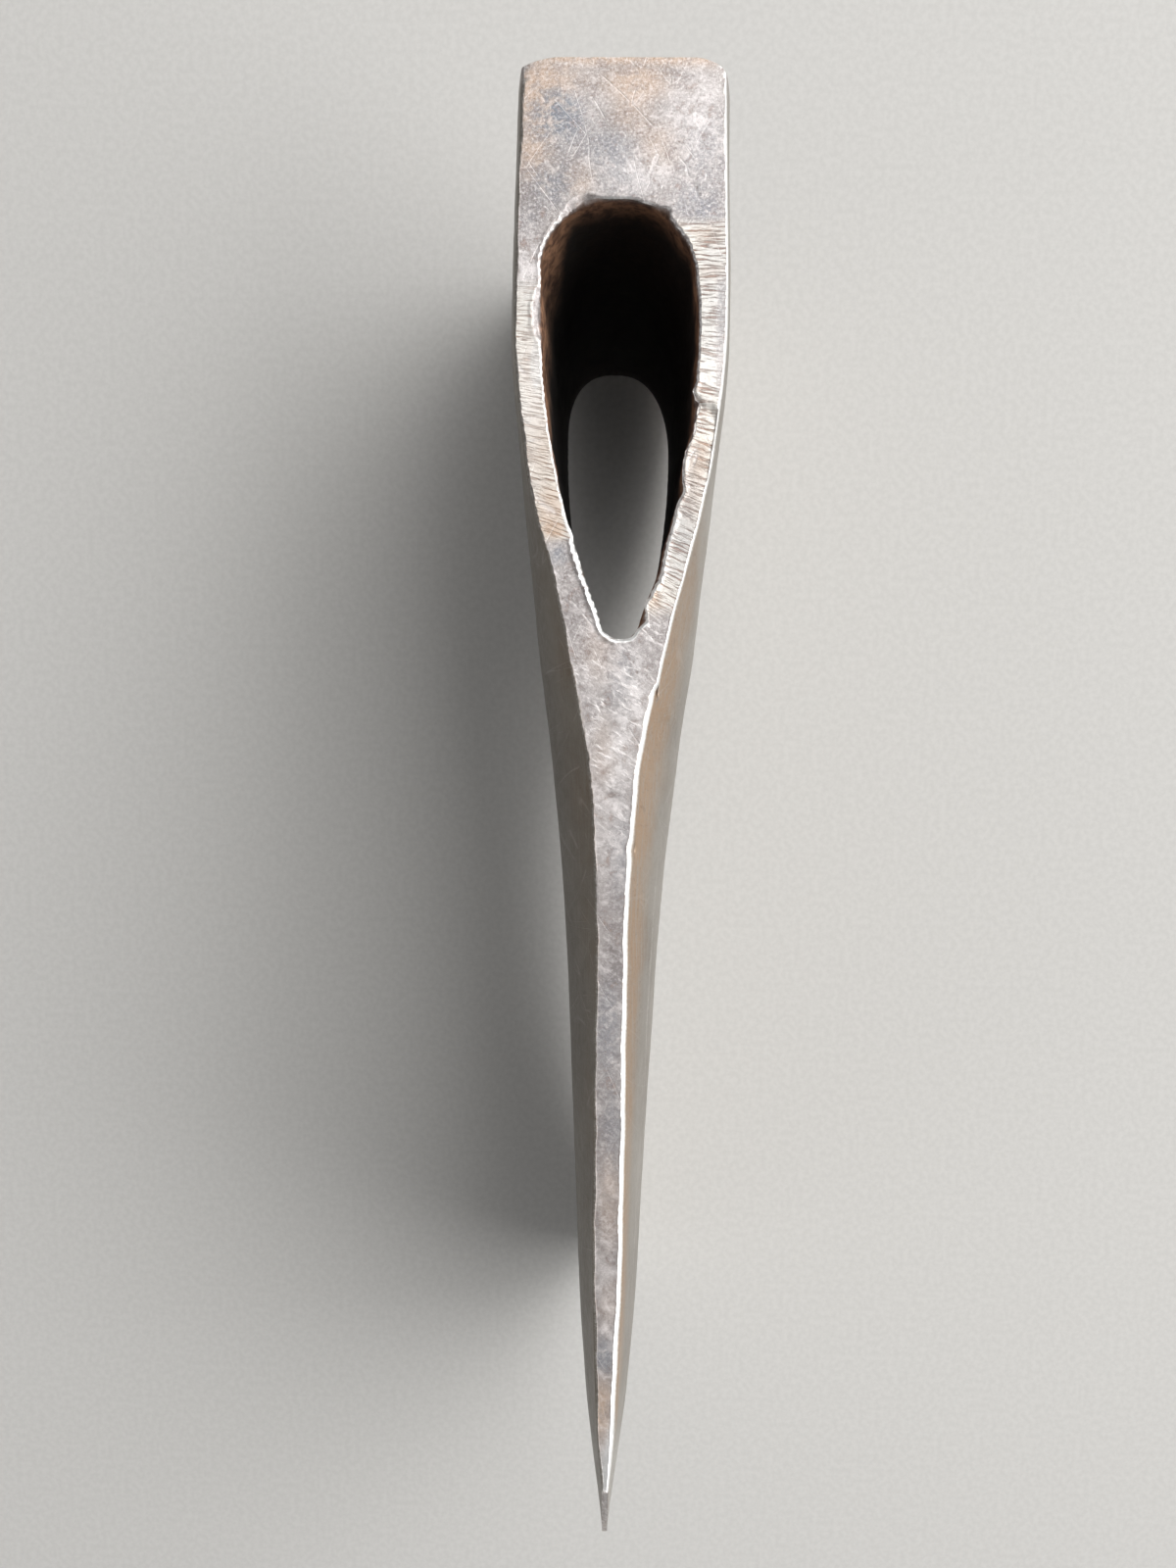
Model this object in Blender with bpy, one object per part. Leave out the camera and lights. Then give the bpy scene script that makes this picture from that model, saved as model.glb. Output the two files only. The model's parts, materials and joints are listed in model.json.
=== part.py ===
"""Single bit axe head: one forged steel piece with a teardrop eye through it.

Head coordinates, in metres: x across the head, s back from the poll face to the cutting edge,
h up from the flat underside of the eye. The finished head stands on the lower corner of its
poll and on its heel, with +X across it, +Y from the cutting edge to the poll and +Z up.
"""
import math

import bpy
import numpy as np

# Lengths along the head
POLL_BLOCK = 0.0189         # solid steel between the poll face and the eye
EYE_LENGTH = 0.0583         # eye, poll end to tip
BLADE_LENGTH = 0.1213       # tip of the eye to the middle of the cutting edge

# Eye
EYE_WIDTH = 0.0210          # widest, at the top face
EYE_NOSE = 0.0155           # length of the blunt end, up to the widest place
EYE_NOSE_POWER = 2.5        # 2 is an ellipse, more is squarer
EYE_TIP_WIDTH = 0.0056      # across the small round that closes the narrow end
EYE_TIP_LENGTH = 0.0026
EYE_DRAFT = 0.0011          # how much each side closes in from the top face to the underside
EYE_WALL = 0.0037           # steel beside the eye, at the top face

# Widths of the flat top and bottom faces
POLL_WIDTH = 0.0273
EYE_TIP_FACE = 0.0139       # beside the tip of the eye
WEB_FACE = 0.0068           # in the hollow behind the eye
WAIST_FACE = 0.0046         # where the face becomes a narrow band
BLADE_FACE = 0.0043         # the band, two thirds of the way along the blade
TOE_FACE = 0.0024           # near the toe and the heel
CORNER_FACE = 0.0008        # at the very end of the toe and the heel

# Thickness half way up the cheeks
POLL_BELLY = 0.0303
EYE_BULGE = 0.0014          # how far each cheek swells past the face beside the eye
EYE_TIP_BELLY = 0.0231
WEB_BELLY = 0.0181
WAIST_BELLY = 0.0142
BLADE_BELLY = 0.0105
BEVEL_BELLY = 0.0074        # where the ground bevel starts
BEVEL_MIDDLE = 0.0047
EDGE_THICKNESS = 0.0003
CHEEK_POWER = 5.0           # 2 is a round cheek, more is a flatter one

# Places where those widths hold, as shares of the way
SHOULDER_AT = 0.42          # from the widest place of the eye to its tip
WEB_AT = 0.16               # and the rest from the tip of the eye to the edge
WAIST_AT = 0.33
BLADE_AT = 0.60
BEVEL_AT = 0.83
BEVEL_MIDDLE_AT = 0.92

# Heights
EYE_HEIGHT = 0.0700         # underside to top face, at the eye
TOE_RISE = 0.0080           # toe above the top face
HEEL_DROP = 0.0240          # heel below the underside
RISE_POWER = 2.0
DROP_POWER = 1.7
FLARE_START = 0.0050        # from the tip of the eye to where the blade starts to flare

# Cutting edge, seen from the side
EDGE_SWEEP = 0.0060         # how far the edge falls back from its middle to its corners
CORNER_SETBACK = 0.0076     # how far the corners are rounded off, along the head
CORNER_START = 0.82         # share of the half height where the rounding starts

# Rounded rim of the poll face and worn arrises
POLL_ROUND_DEPTH = 0.0026
POLL_ROUND_WIDTH = 0.0058
POLL_ROUND_HEIGHT = 0.0012
ARRIS = 0.0006
ARRIS_SHARE = 0.4           # most that a worn arris takes of the narrow band's half width

# Fineness of the surfaces
POLL_ROUND_STEPS = 5
EYE_STEPS = 22
BLADE_STEPS = 26
CHEEK_STEPS = 8             # between the rounded corners of the cutting edge
CORNER_STEPS = 5
EYE_SIDE_STEPS = 14
EYE_END_STEPS = 10
CUTTER_MARGIN = 0.010       # how far the eye's cutter stands out of both faces
SHARP_ANGLE = 30            # degrees between faces from which an edge is shaded sharp

# Worked out from the sizes above
EYE_START = POLL_BLOCK
EYE_WIDEST = EYE_START + EYE_NOSE
EYE_END = EYE_START + EYE_LENGTH
EYE_SHOULDER = EYE_WIDEST + SHOULDER_AT * (EYE_END - EYE_WIDEST)
HEAD_LENGTH = EYE_END + BLADE_LENGTH


def smooth_curve(x, knots, values):
    """Monotone cubic through the knots: level at the first, without overshoot between them."""
    knots = np.asarray(knots, float)
    values = np.asarray(values, float)
    span = np.diff(knots)
    rise = np.diff(values) / span
    slope = np.zeros(len(knots))
    before, after = rise[:-1], rise[1:]
    same_way = before * after > 0
    heavy, light = 2 * span[1:] + span[:-1], span[1:] + 2 * span[:-1]
    with np.errstate(divide="ignore", invalid="ignore"):
        mean = (heavy + light) / (heavy / before + light / after)
    slope[1:-1] = np.where(same_way, mean, 0.0)
    slope[-1] = rise[-1]
    x = np.clip(x, knots[0], knots[-1])
    k = np.clip(np.searchsorted(knots, x, side="right") - 1, 0, len(span) - 1)
    q = (x - knots[k]) / span[k]
    ends = (1 + 2 * q) * (1 - q) ** 2 * values[k] + q * q * (3 - 2 * q) * values[k + 1]
    turns = q * (1 - q) ** 2 * slope[k] - q * q * (1 - q) * slope[k + 1]
    return ends + span[k] * turns


def eye_half_width(s):
    """Half width of the eye at the top face: blunt nose, bowed side, small round tip."""
    tip = EYE_TIP_WIDTH / 2
    full = EYE_WIDTH / 2
    tip_start = EYE_END - EYE_TIP_LENGTH
    nose = np.clip((EYE_WIDEST - s) / EYE_NOSE, 0, 1)
    side = np.clip((s - EYE_WIDEST) / (tip_start - EYE_WIDEST), 0, 1)
    end = np.clip((s - tip_start) / EYE_TIP_LENGTH, 0, 1)
    width = tip + (full - tip) * (1 - side ** 2)
    width = width * np.sqrt(1 - end ** 2)
    return width * (1 - nose ** EYE_NOSE_POWER) ** (1 / EYE_NOSE_POWER)


def along_head(*blade_shares):
    """Places back from the poll face: along the eye, then at these shares of the blade."""
    blade = [EYE_END + share * BLADE_LENGTH for share in blade_shares]
    return [0.0, EYE_WIDEST, EYE_SHOULDER, EYE_END, *blade]


def face_half_width(s):
    """Half width of the top and bottom faces: the eye and its wall, then the narrow band."""
    corner = (edge_place(1.0) - EYE_END) / BLADE_LENGTH
    places = along_head(WEB_AT, WAIST_AT, BLADE_AT, BEVEL_AT, corner)
    widest = eye_half_width(EYE_WIDEST) + EYE_WALL
    shoulder = eye_half_width(EYE_SHOULDER) + EYE_WALL
    halves = [POLL_WIDTH / 2, widest, shoulder, EYE_TIP_FACE / 2]
    halves += [w / 2 for w in (WEB_FACE, WAIST_FACE, BLADE_FACE, TOE_FACE, CORNER_FACE)]
    return smooth_curve(s, places, halves)


def belly_half_width(s):
    """Half thickness half way up the cheeks, down to the land of the cutting edge."""
    places = along_head(WEB_AT, WAIST_AT, BLADE_AT, BEVEL_AT, BEVEL_MIDDLE_AT, 1.0)
    widest = eye_half_width(EYE_WIDEST) + EYE_WALL + EYE_BULGE
    shoulder = eye_half_width(EYE_SHOULDER) + EYE_WALL + EYE_BULGE
    halves = [POLL_BELLY / 2, widest, shoulder, EYE_TIP_BELLY / 2]
    halves += [w / 2 for w in (WEB_BELLY, WAIST_BELLY, BLADE_BELLY)]
    halves += [w / 2 for w in (BEVEL_BELLY, BEVEL_MIDDLE, EDGE_THICKNESS)]
    return smooth_curve(s, places, halves)


def edge_place(t):
    """Distance of the cutting edge from the poll face; t is -1 at the heel and 1 at the toe."""
    away = np.abs(t)
    corner = np.clip((away - CORNER_START) / (1 - CORNER_START), 0, 1)
    rounding = CORNER_SETBACK * (1 - np.sqrt(1 - corner ** 2))
    return HEAD_LENGTH - EDGE_SWEEP * away ** 2 - rounding


def top_height(s):
    """Height of the top face: level past the eye, then rising to the toe."""
    start = EYE_END + FLARE_START
    run = np.clip((s - start) / (edge_place(1.0) - start), 0, None)
    return EYE_HEIGHT + TOE_RISE * run ** RISE_POWER


def bottom_height(s):
    """Height of the bottom face: level past the eye, then falling to the heel."""
    start = EYE_END + FLARE_START
    run = np.clip((s - start) / (edge_place(-1.0) - start), 0, None)
    return -HEEL_DROP * run ** DROP_POWER


def section_shares():
    """Shares of the way from poll to edge where the sections stand, closest in the rounded rim."""
    rim = POLL_ROUND_DEPTH * (1 - np.cos(np.linspace(0, math.pi / 2, POLL_ROUND_STEPS + 1)))
    eye = np.linspace(POLL_ROUND_DEPTH, EYE_END, EYE_STEPS + 1)[1:]
    blade = EYE_END + BLADE_LENGTH * np.sin(np.linspace(0, math.pi / 2, BLADE_STEPS + 1)[1:])
    return np.concatenate([rim, eye, blade]) / HEAD_LENGTH


def cheek_shares():
    """Places up a cheek, -1 at the bottom face and 1 at the top, closest near both faces."""
    turn = np.linspace(0, math.pi / 2, CORNER_STEPS + 1)
    corner = CORNER_START + (1 - CORNER_START) * np.sin(turn)
    middle = np.linspace(-CORNER_START, CORNER_START, CHEEK_STEPS + 1)[1:-1]
    return np.concatenate([-corner[::-1], middle, corner])


def section(share):
    """One closed section: a column of points up the right side and the same down the left."""
    t = cheek_shares()
    s = share * edge_place(t)
    rim = np.clip((POLL_ROUND_DEPTH - s) / POLL_ROUND_DEPTH, 0, 1)
    inset = 1 - np.sqrt(1 - rim ** 2)
    face = face_half_width(s)
    belly = belly_half_width(share * HEAD_LENGTH)
    half = face + (belly - face) * (1 - np.abs(t) ** CHEEK_POWER) - POLL_ROUND_WIDTH * inset
    top = top_height(s[-1]) - POLL_ROUND_HEIGHT * inset[-1]
    bottom = bottom_height(s[0]) + POLL_ROUND_HEIGHT * inset[0]
    worn = min(ARRIS, ARRIS_SHARE * half[-1])
    h = bottom + worn + (top - bottom - 2 * worn) * (t + 1) / 2
    half = np.concatenate([[half[0] - worn], half, [half[-1] - worn]])
    s = np.concatenate([[s[0]], s, [s[-1]]])
    h = np.concatenate([[bottom], h, [top]])
    right = np.stack([half, -s, h], axis=1)
    left = right[::-1] * (-1, 1, 1)
    return np.concatenate([right, left])


def sheet_faces(rows, columns):
    """Quads between neighbouring closed sections, and strips that close the first and the last."""
    faces = []
    for row in range(rows - 1):
        for column in range(columns):
            here = row * columns + column
            beside = row * columns + (column + 1) % columns
            faces.append((here, here + columns, beside + columns, beside))
    last = (rows - 1) * columns
    for column in range(columns // 2 - 1):
        across = columns - 1 - column
        faces.append((column, column + 1, across - 1, across))
        faces.append((last + across, last + across - 1, last + column + 1, last + column))
    return faces


def add_mesh(name, points, faces):
    """A new object with these points and faces."""
    mesh = bpy.data.meshes.new(name)
    mesh.from_pydata(points.tolist(), [], faces)
    mesh.validate()
    item = bpy.data.objects.new(name, mesh)
    bpy.context.scene.collection.objects.link(item)
    return item


def eye_outline(share):
    """The eye as a closed ring of (x, s) at a share of its height, 0 at the underside."""
    turn = np.linspace(0, math.pi / 2, EYE_END_STEPS + 1)
    nose = EYE_WIDEST - EYE_NOSE * np.cos(turn)
    side = np.linspace(EYE_WIDEST, EYE_END - EYE_TIP_LENGTH, EYE_SIDE_STEPS + 1)[1:-1]
    tip = EYE_END - EYE_TIP_LENGTH + EYE_TIP_LENGTH * np.sin(turn)
    s = np.concatenate([nose, side, tip])
    closing = 1 - (1 - share) * EYE_DRAFT / (EYE_WIDTH / 2)
    half = eye_half_width(s) * closing
    return np.concatenate([half, -half[-2:0:-1]]), np.concatenate([s, s[-2:0:-1]])


def add_eye_cutter():
    """A closed drafted prism, taller than the head, that cuts the eye."""
    reach = CUTTER_MARGIN / EYE_HEIGHT
    rings = []
    for share in (-reach, 1 + reach):
        x, s = eye_outline(share)
        rings.append(np.stack([x, -s, np.full_like(x, share * EYE_HEIGHT)], axis=1))
    count = len(rings[0])
    faces = [tuple(range(count)), tuple(range(2 * count - 1, count - 1, -1))]
    for k in range(count):
        beside = (k + 1) % count
        faces.append((k, k + count, beside + count, beside))
    cutter = add_mesh("eye_cutter", np.concatenate(rings), faces)
    cutter.hide_render = True
    cutter.display_type = "WIRE"
    return cutter


def resting_line(points):
    """Slope of the line that the head stands on, from the lower corner of its poll to its heel."""
    side = np.stack([-points[:, 1], points[:, 2]], axis=1)
    here = side[np.lexsort((side[:, 1], side[:, 0]))[0]]
    while True:
        ahead = side[side[:, 0] > here[0]]
        slopes = (ahead[:, 1] - here[1]) / (ahead[:, 0] - here[0])
        below = ahead[slopes.argmin()]
        if below[0] > EYE_END:
            return slopes.min()
        here = below


def add_rest(points):
    """An empty that stands the head on that line, centred on the origin."""
    rest = bpy.data.objects.new("rest", None)
    bpy.context.scene.collection.objects.link(rest)
    pitch = math.atan(resting_line(points))
    y = points[:, 1] * math.cos(pitch) - points[:, 2] * math.sin(pitch)
    z = points[:, 1] * math.sin(pitch) + points[:, 2] * math.cos(pitch)
    rest.rotation_euler = (pitch, 0, 0)
    rest.location = (0, -(y.min() + y.max()) / 2, -z.min())
    return rest


def make_steel():
    """Old forged steel, brown to grey, half polished."""
    steel = bpy.data.materials.new("aged_steel")
    steel.use_nodes = True
    shader = steel.node_tree.nodes["Principled BSDF"]
    shader.inputs["Base Color"].default_value = (0.27, 0.22, 0.20, 1)
    shader.inputs["Metallic"].default_value = 0.85
    shader.inputs["Roughness"].default_value = 0.42
    return steel


def clear_scene():
    """Remove what the new file starts with."""
    for item in list(bpy.data.objects):
        bpy.data.objects.remove(item, do_unlink=True)


def build_axe_head():
    """The forged body from its sections, with the eye cut through it."""
    sections = [section(share) for share in section_shares()]
    points = np.concatenate(sections)
    head = add_mesh("axe_head", points, sheet_faces(len(sections), len(sections[0])))
    head.data.materials.append(make_steel())
    cutter = add_eye_cutter()
    rest = add_rest(points)
    head.parent = rest
    cutter.parent = rest
    cut = head.modifiers.new("eye", "BOOLEAN")
    cut.operation = "DIFFERENCE"
    cut.solver = "EXACT"
    cut.object = cutter
    head.data.shade_smooth()
    head.data.set_sharp_from_angle(angle=math.radians(SHARP_ANGLE))
    return head


clear_scene()
build_axe_head()
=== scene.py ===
import json
import math

import bmesh
import bpy
import numpy as np
from mathutils import Matrix, Vector


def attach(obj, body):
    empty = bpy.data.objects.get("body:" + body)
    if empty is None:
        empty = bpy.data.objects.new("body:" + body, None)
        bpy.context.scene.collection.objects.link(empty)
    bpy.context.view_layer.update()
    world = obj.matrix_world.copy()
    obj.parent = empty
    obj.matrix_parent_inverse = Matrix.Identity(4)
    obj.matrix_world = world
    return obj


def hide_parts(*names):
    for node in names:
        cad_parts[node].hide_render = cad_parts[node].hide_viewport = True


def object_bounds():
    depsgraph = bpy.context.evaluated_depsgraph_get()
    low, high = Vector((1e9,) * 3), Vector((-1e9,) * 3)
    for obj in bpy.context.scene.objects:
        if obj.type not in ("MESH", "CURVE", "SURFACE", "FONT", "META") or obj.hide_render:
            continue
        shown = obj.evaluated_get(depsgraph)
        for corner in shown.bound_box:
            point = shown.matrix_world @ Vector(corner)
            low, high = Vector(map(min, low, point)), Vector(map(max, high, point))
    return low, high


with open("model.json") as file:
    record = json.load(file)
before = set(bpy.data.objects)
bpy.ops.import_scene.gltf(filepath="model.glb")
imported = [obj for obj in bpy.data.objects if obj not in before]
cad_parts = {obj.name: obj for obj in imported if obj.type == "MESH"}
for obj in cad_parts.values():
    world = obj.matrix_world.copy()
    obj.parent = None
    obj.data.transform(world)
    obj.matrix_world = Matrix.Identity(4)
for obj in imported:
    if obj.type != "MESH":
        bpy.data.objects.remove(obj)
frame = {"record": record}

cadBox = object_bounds()

# Head coordinates, in millimetres: x across, s back from the poll face to the cutting edge,
# h up from the flat underside of the eye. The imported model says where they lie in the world.
axeHead = {
    # lengths along the head
    "pollBlock": 18.9,
    "eyeLength": 58.3,
    "bladeLength": 121.3,
    # eye
    "eyeWidth": 21.0,
    "eyeNose": 15.5,
    "nosePower": 2.5,
    "tipWidth": 5.6,
    "tipLength": 2.6,
    "eyeDraft": 1.1,
    "eyeWall": 3.7,
    # the eye was punched a little askew: its middle line, from its nose to its tip
    "skewPlaces": (18.9, 25.0, 34.0, 45.0, 60.0, 70.0, 77.2),
    "skew": (-0.85, -0.57, -0.08, 0.0, 0.22, 0.46, 0.5),
    # widths of the flat faces: poll, tip of the eye, web, waist, blade, toe, corner
    "pollWidth": 27.3,
    "tipFace": 13.9,
    "bandFaces": (6.8, 4.6, 4.3, 2.4, 0.8),
    "bandPlaces": (0.16, 0.33, 0.60, 0.83),
    # thickness half way up: poll, swell beside the eye, tip of the eye, blade, edge
    "pollBelly": 30.3,
    "eyeBulge": 1.4,
    "tipBelly": 23.1,
    "bladeBellies": (18.1, 14.2, 10.5, 7.4, 4.7, 0.3),
    "bladePlaces": (0.16, 0.33, 0.60, 0.83, 0.92, 1.0),
    "shoulderAt": 0.42,
    "cheekPower": 5.0,
    # heights
    "toeRise": 8.0,
    "heelDrop": 24.0,
    "risePower": 2.0,
    "dropPower": 1.7,
    "flareStart": 5.0,
    # cutting edge from the side
    "edgeSweep": 6.0,
    "cornerSetback": 7.6,
    "cornerStart": 0.82,
    # rolled rim of the poll: along the head and roundness at the left and right, across, down
    "rimDepths": (1.5, 2.5),
    "rimPowers": (1.45, 2.0),
    "rimWidth": 5.8,
    "rimTop": (0.5, 0.12),
    "rimUnder": (2.6, 1.2),
    # worn arrises: the filed facet of the right one starts at the first step, widens at the next
    "arrisSteps": (45.3, 84.0),
    "rightWorn": (0.3, 0.4, 0.85),
    "leftWorn": 0.38,
    "underWorn": 0.5,
    "arrisPower": 1.5,
    "arrisShare": 0.6,
    # rows of the skin: rolled rim, then the eye's ring from its start to its end
    "rimDepth": 2.8,
    "ringEnds": (3.2, 84.0),
    # how the ring is shared out: along its sides to these places of the rim, and the widths
    # of the rim's nose and tip that its ends go to
    "ringPlaces": (28, 66),
    "rimPlaces": (20.2, 30.5, 65, 76.4),
    "rimEnds": (5.48, 2.02),
    "ringGrowth": 1.15,
    # fineness
    "rimRows": 9,
    "eyeRows": 160,
    "bladeRows": 176,
    "middleColumns": 38,
    "cornerColumns": 10,
    "arcColumns": 6,
    "across": 28,
    "ringSteps": 28,
    "underRingSteps": 8,
    "bevelSteps": 4,
    "wallSteps": 36,
}
eyeWidest = axeHead["pollBlock"] + axeHead["eyeNose"]
eyeEnd = axeHead["pollBlock"] + axeHead["eyeLength"]
eyeShoulder = eyeWidest + axeHead["shoulderAt"] * (eyeEnd - eyeWidest)
headLength = eyeEnd + axeHead["bladeLength"]
mm = 0.001

# Where the head lies: its mounts give the top, the underside and the poll face
mounts = {mount["name"]: mount for mount in frame["record"]["mounts"]}


def mountPlace(name):
    # a mount's point in metres and its direction at length one
    axis = np.array(mounts[name]["axis"], float)
    return np.array(mounts[name]["pos_m"], float), axis / np.linalg.norm(axis)


topPoint, upAxis = mountPlace("eye_top_face")
pollPoint, pollAxis = mountPlace("poll_face")
underPoint = mountPlace("eye_under_face")[0]
rightAxis = np.cross(pollAxis, upAxis)
headOrigin = upAxis * (underPoint @ upAxis) + pollAxis * (pollPoint @ pollAxis)
eyeHeight = (topPoint - underPoint) @ upAxis / mm


def toWorld(x, s, h):
    # head millimetres to world metres: origin + x * right - s * poll axis + h * up
    x, s, h = np.broadcast_arrays(x, s, h)
    across = np.multiply.outer(x, rightAxis)
    along = np.multiply.outer(-s, pollAxis)
    return headOrigin + mm * (across + along + np.multiply.outer(h, upAxis))


def smoothCurve(x, knots, values):
    # monotone cubic through the knots: level at the first, no overshoot between them
    knots = np.asarray(knots, float)
    values = np.asarray(values, float)
    span = np.diff(knots)
    rise = np.diff(values) / span
    slope = np.zeros(len(knots))
    before, after = rise[:-1], rise[1:]
    heavy, light = 2 * span[1:] + span[:-1], span[1:] + 2 * span[:-1]
    with np.errstate(divide="ignore", invalid="ignore"):
        mean = (heavy + light) / (heavy / before + light / after)
    slope[1:-1] = np.where(before * after > 0, mean, 0.0)
    slope[-1] = rise[-1]
    x = np.clip(x, knots[0], knots[-1])
    k = np.clip(np.searchsorted(knots, x, side="right") - 1, 0, len(span) - 1)
    q = (x - knots[k]) / span[k]
    ends = (1 + 2 * q) * (1 - q) ** 2 * values[k] + q * q * (3 - 2 * q) * values[k + 1]
    turns = q * (1 - q) ** 2 * slope[k] - q * q * (1 - q) * slope[k + 1]
    return ends + span[k] * turns


def eyeHalfWidth(s):
    # blunt nose (1 - n^p)^(1/p), bowed side 1 - t^2, small round tip sqrt(1 - e^2)
    tip = axeHead["tipWidth"] / 2
    full = axeHead["eyeWidth"] / 2
    tipStart = eyeEnd - axeHead["tipLength"]
    nose = np.clip((eyeWidest - s) / axeHead["eyeNose"], 0, 1)
    side = np.clip((s - eyeWidest) / (tipStart - eyeWidest), 0, 1)
    end = np.clip((s - tipStart) / axeHead["tipLength"], 0, 1)
    width = (tip + (full - tip) * (1 - side ** 2)) * np.sqrt(1 - end ** 2)
    return width * (1 - nose ** axeHead["nosePower"]) ** (1 / axeHead["nosePower"])


def alongHead(bladePlaces):
    # knots along the head: poll face, the eye's places, then shares of the blade
    return [0.0, eyeWidest, eyeShoulder, eyeEnd] + [
        eyeEnd + place * axeHead["bladeLength"] for place in bladePlaces]


def faceHalfWidth(s):
    # half width of the top and bottom faces: eye and wall, then the narrow band
    widest = eyeHalfWidth(eyeWidest) + axeHead["eyeWall"]
    shoulder = eyeHalfWidth(eyeShoulder) + axeHead["eyeWall"]
    halves = [axeHead["pollWidth"] / 2, widest, shoulder, axeHead["tipFace"] / 2]
    halves += [width / 2 for width in axeHead["bandFaces"]]
    corner = (edgePlace(1.0) - eyeEnd) / axeHead["bladeLength"]
    return smoothCurve(s, alongHead(axeHead["bandPlaces"] + (corner,)), halves)


def bellyHalfWidth(s):
    # half thickness half way up the cheeks
    swell = axeHead["eyeWall"] + axeHead["eyeBulge"]
    halves = [axeHead["pollBelly"] / 2, eyeHalfWidth(eyeWidest) + swell,
              eyeHalfWidth(eyeShoulder) + swell, axeHead["tipBelly"] / 2]
    halves += [width / 2 for width in axeHead["bladeBellies"]]
    return smoothCurve(s, alongHead(axeHead["bladePlaces"]), halves)


def edgePlace(t):
    # the cutting edge: length - sweep * t^2 - corner rounding, t from -1 heel to 1 toe
    away = np.abs(t)
    start = axeHead["cornerStart"]
    corner = np.clip((away - start) / (1 - start), 0, 1)
    rounding = axeHead["cornerSetback"] * (1 - np.sqrt(1 - corner ** 2))
    return headLength - axeHead["edgeSweep"] * away ** 2 - rounding


def flareRun(s):
    # 0 where the flare starts, 1 at the toe's corner
    start = eyeEnd + axeHead["flareStart"]
    return np.clip((s - start) / (edgePlace(1.0) - start), 0, None)


def topHeight(s):
    # level past the eye, then rising to the toe as the square of the way
    return eyeHeight + axeHead["toeRise"] * flareRun(s) ** axeHead["risePower"]


def bottomHeight(s):
    # level past the eye, then falling to the heel as a power of the way
    return -axeHead["heelDrop"] * flareRun(s) ** axeHead["dropPower"]


def softStep(x, low, high):
    # 0 below low, 1 above high, q^2 * (3 - 2 q) between
    q = np.clip((x - low) / (high - low), 0, 1)
    return q * q * (3 - 2 * q)


def bump(x, centre, width):
    # a bell of height one, exp(-d^2)
    return np.exp(-((x - centre) / width) ** 2)


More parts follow.
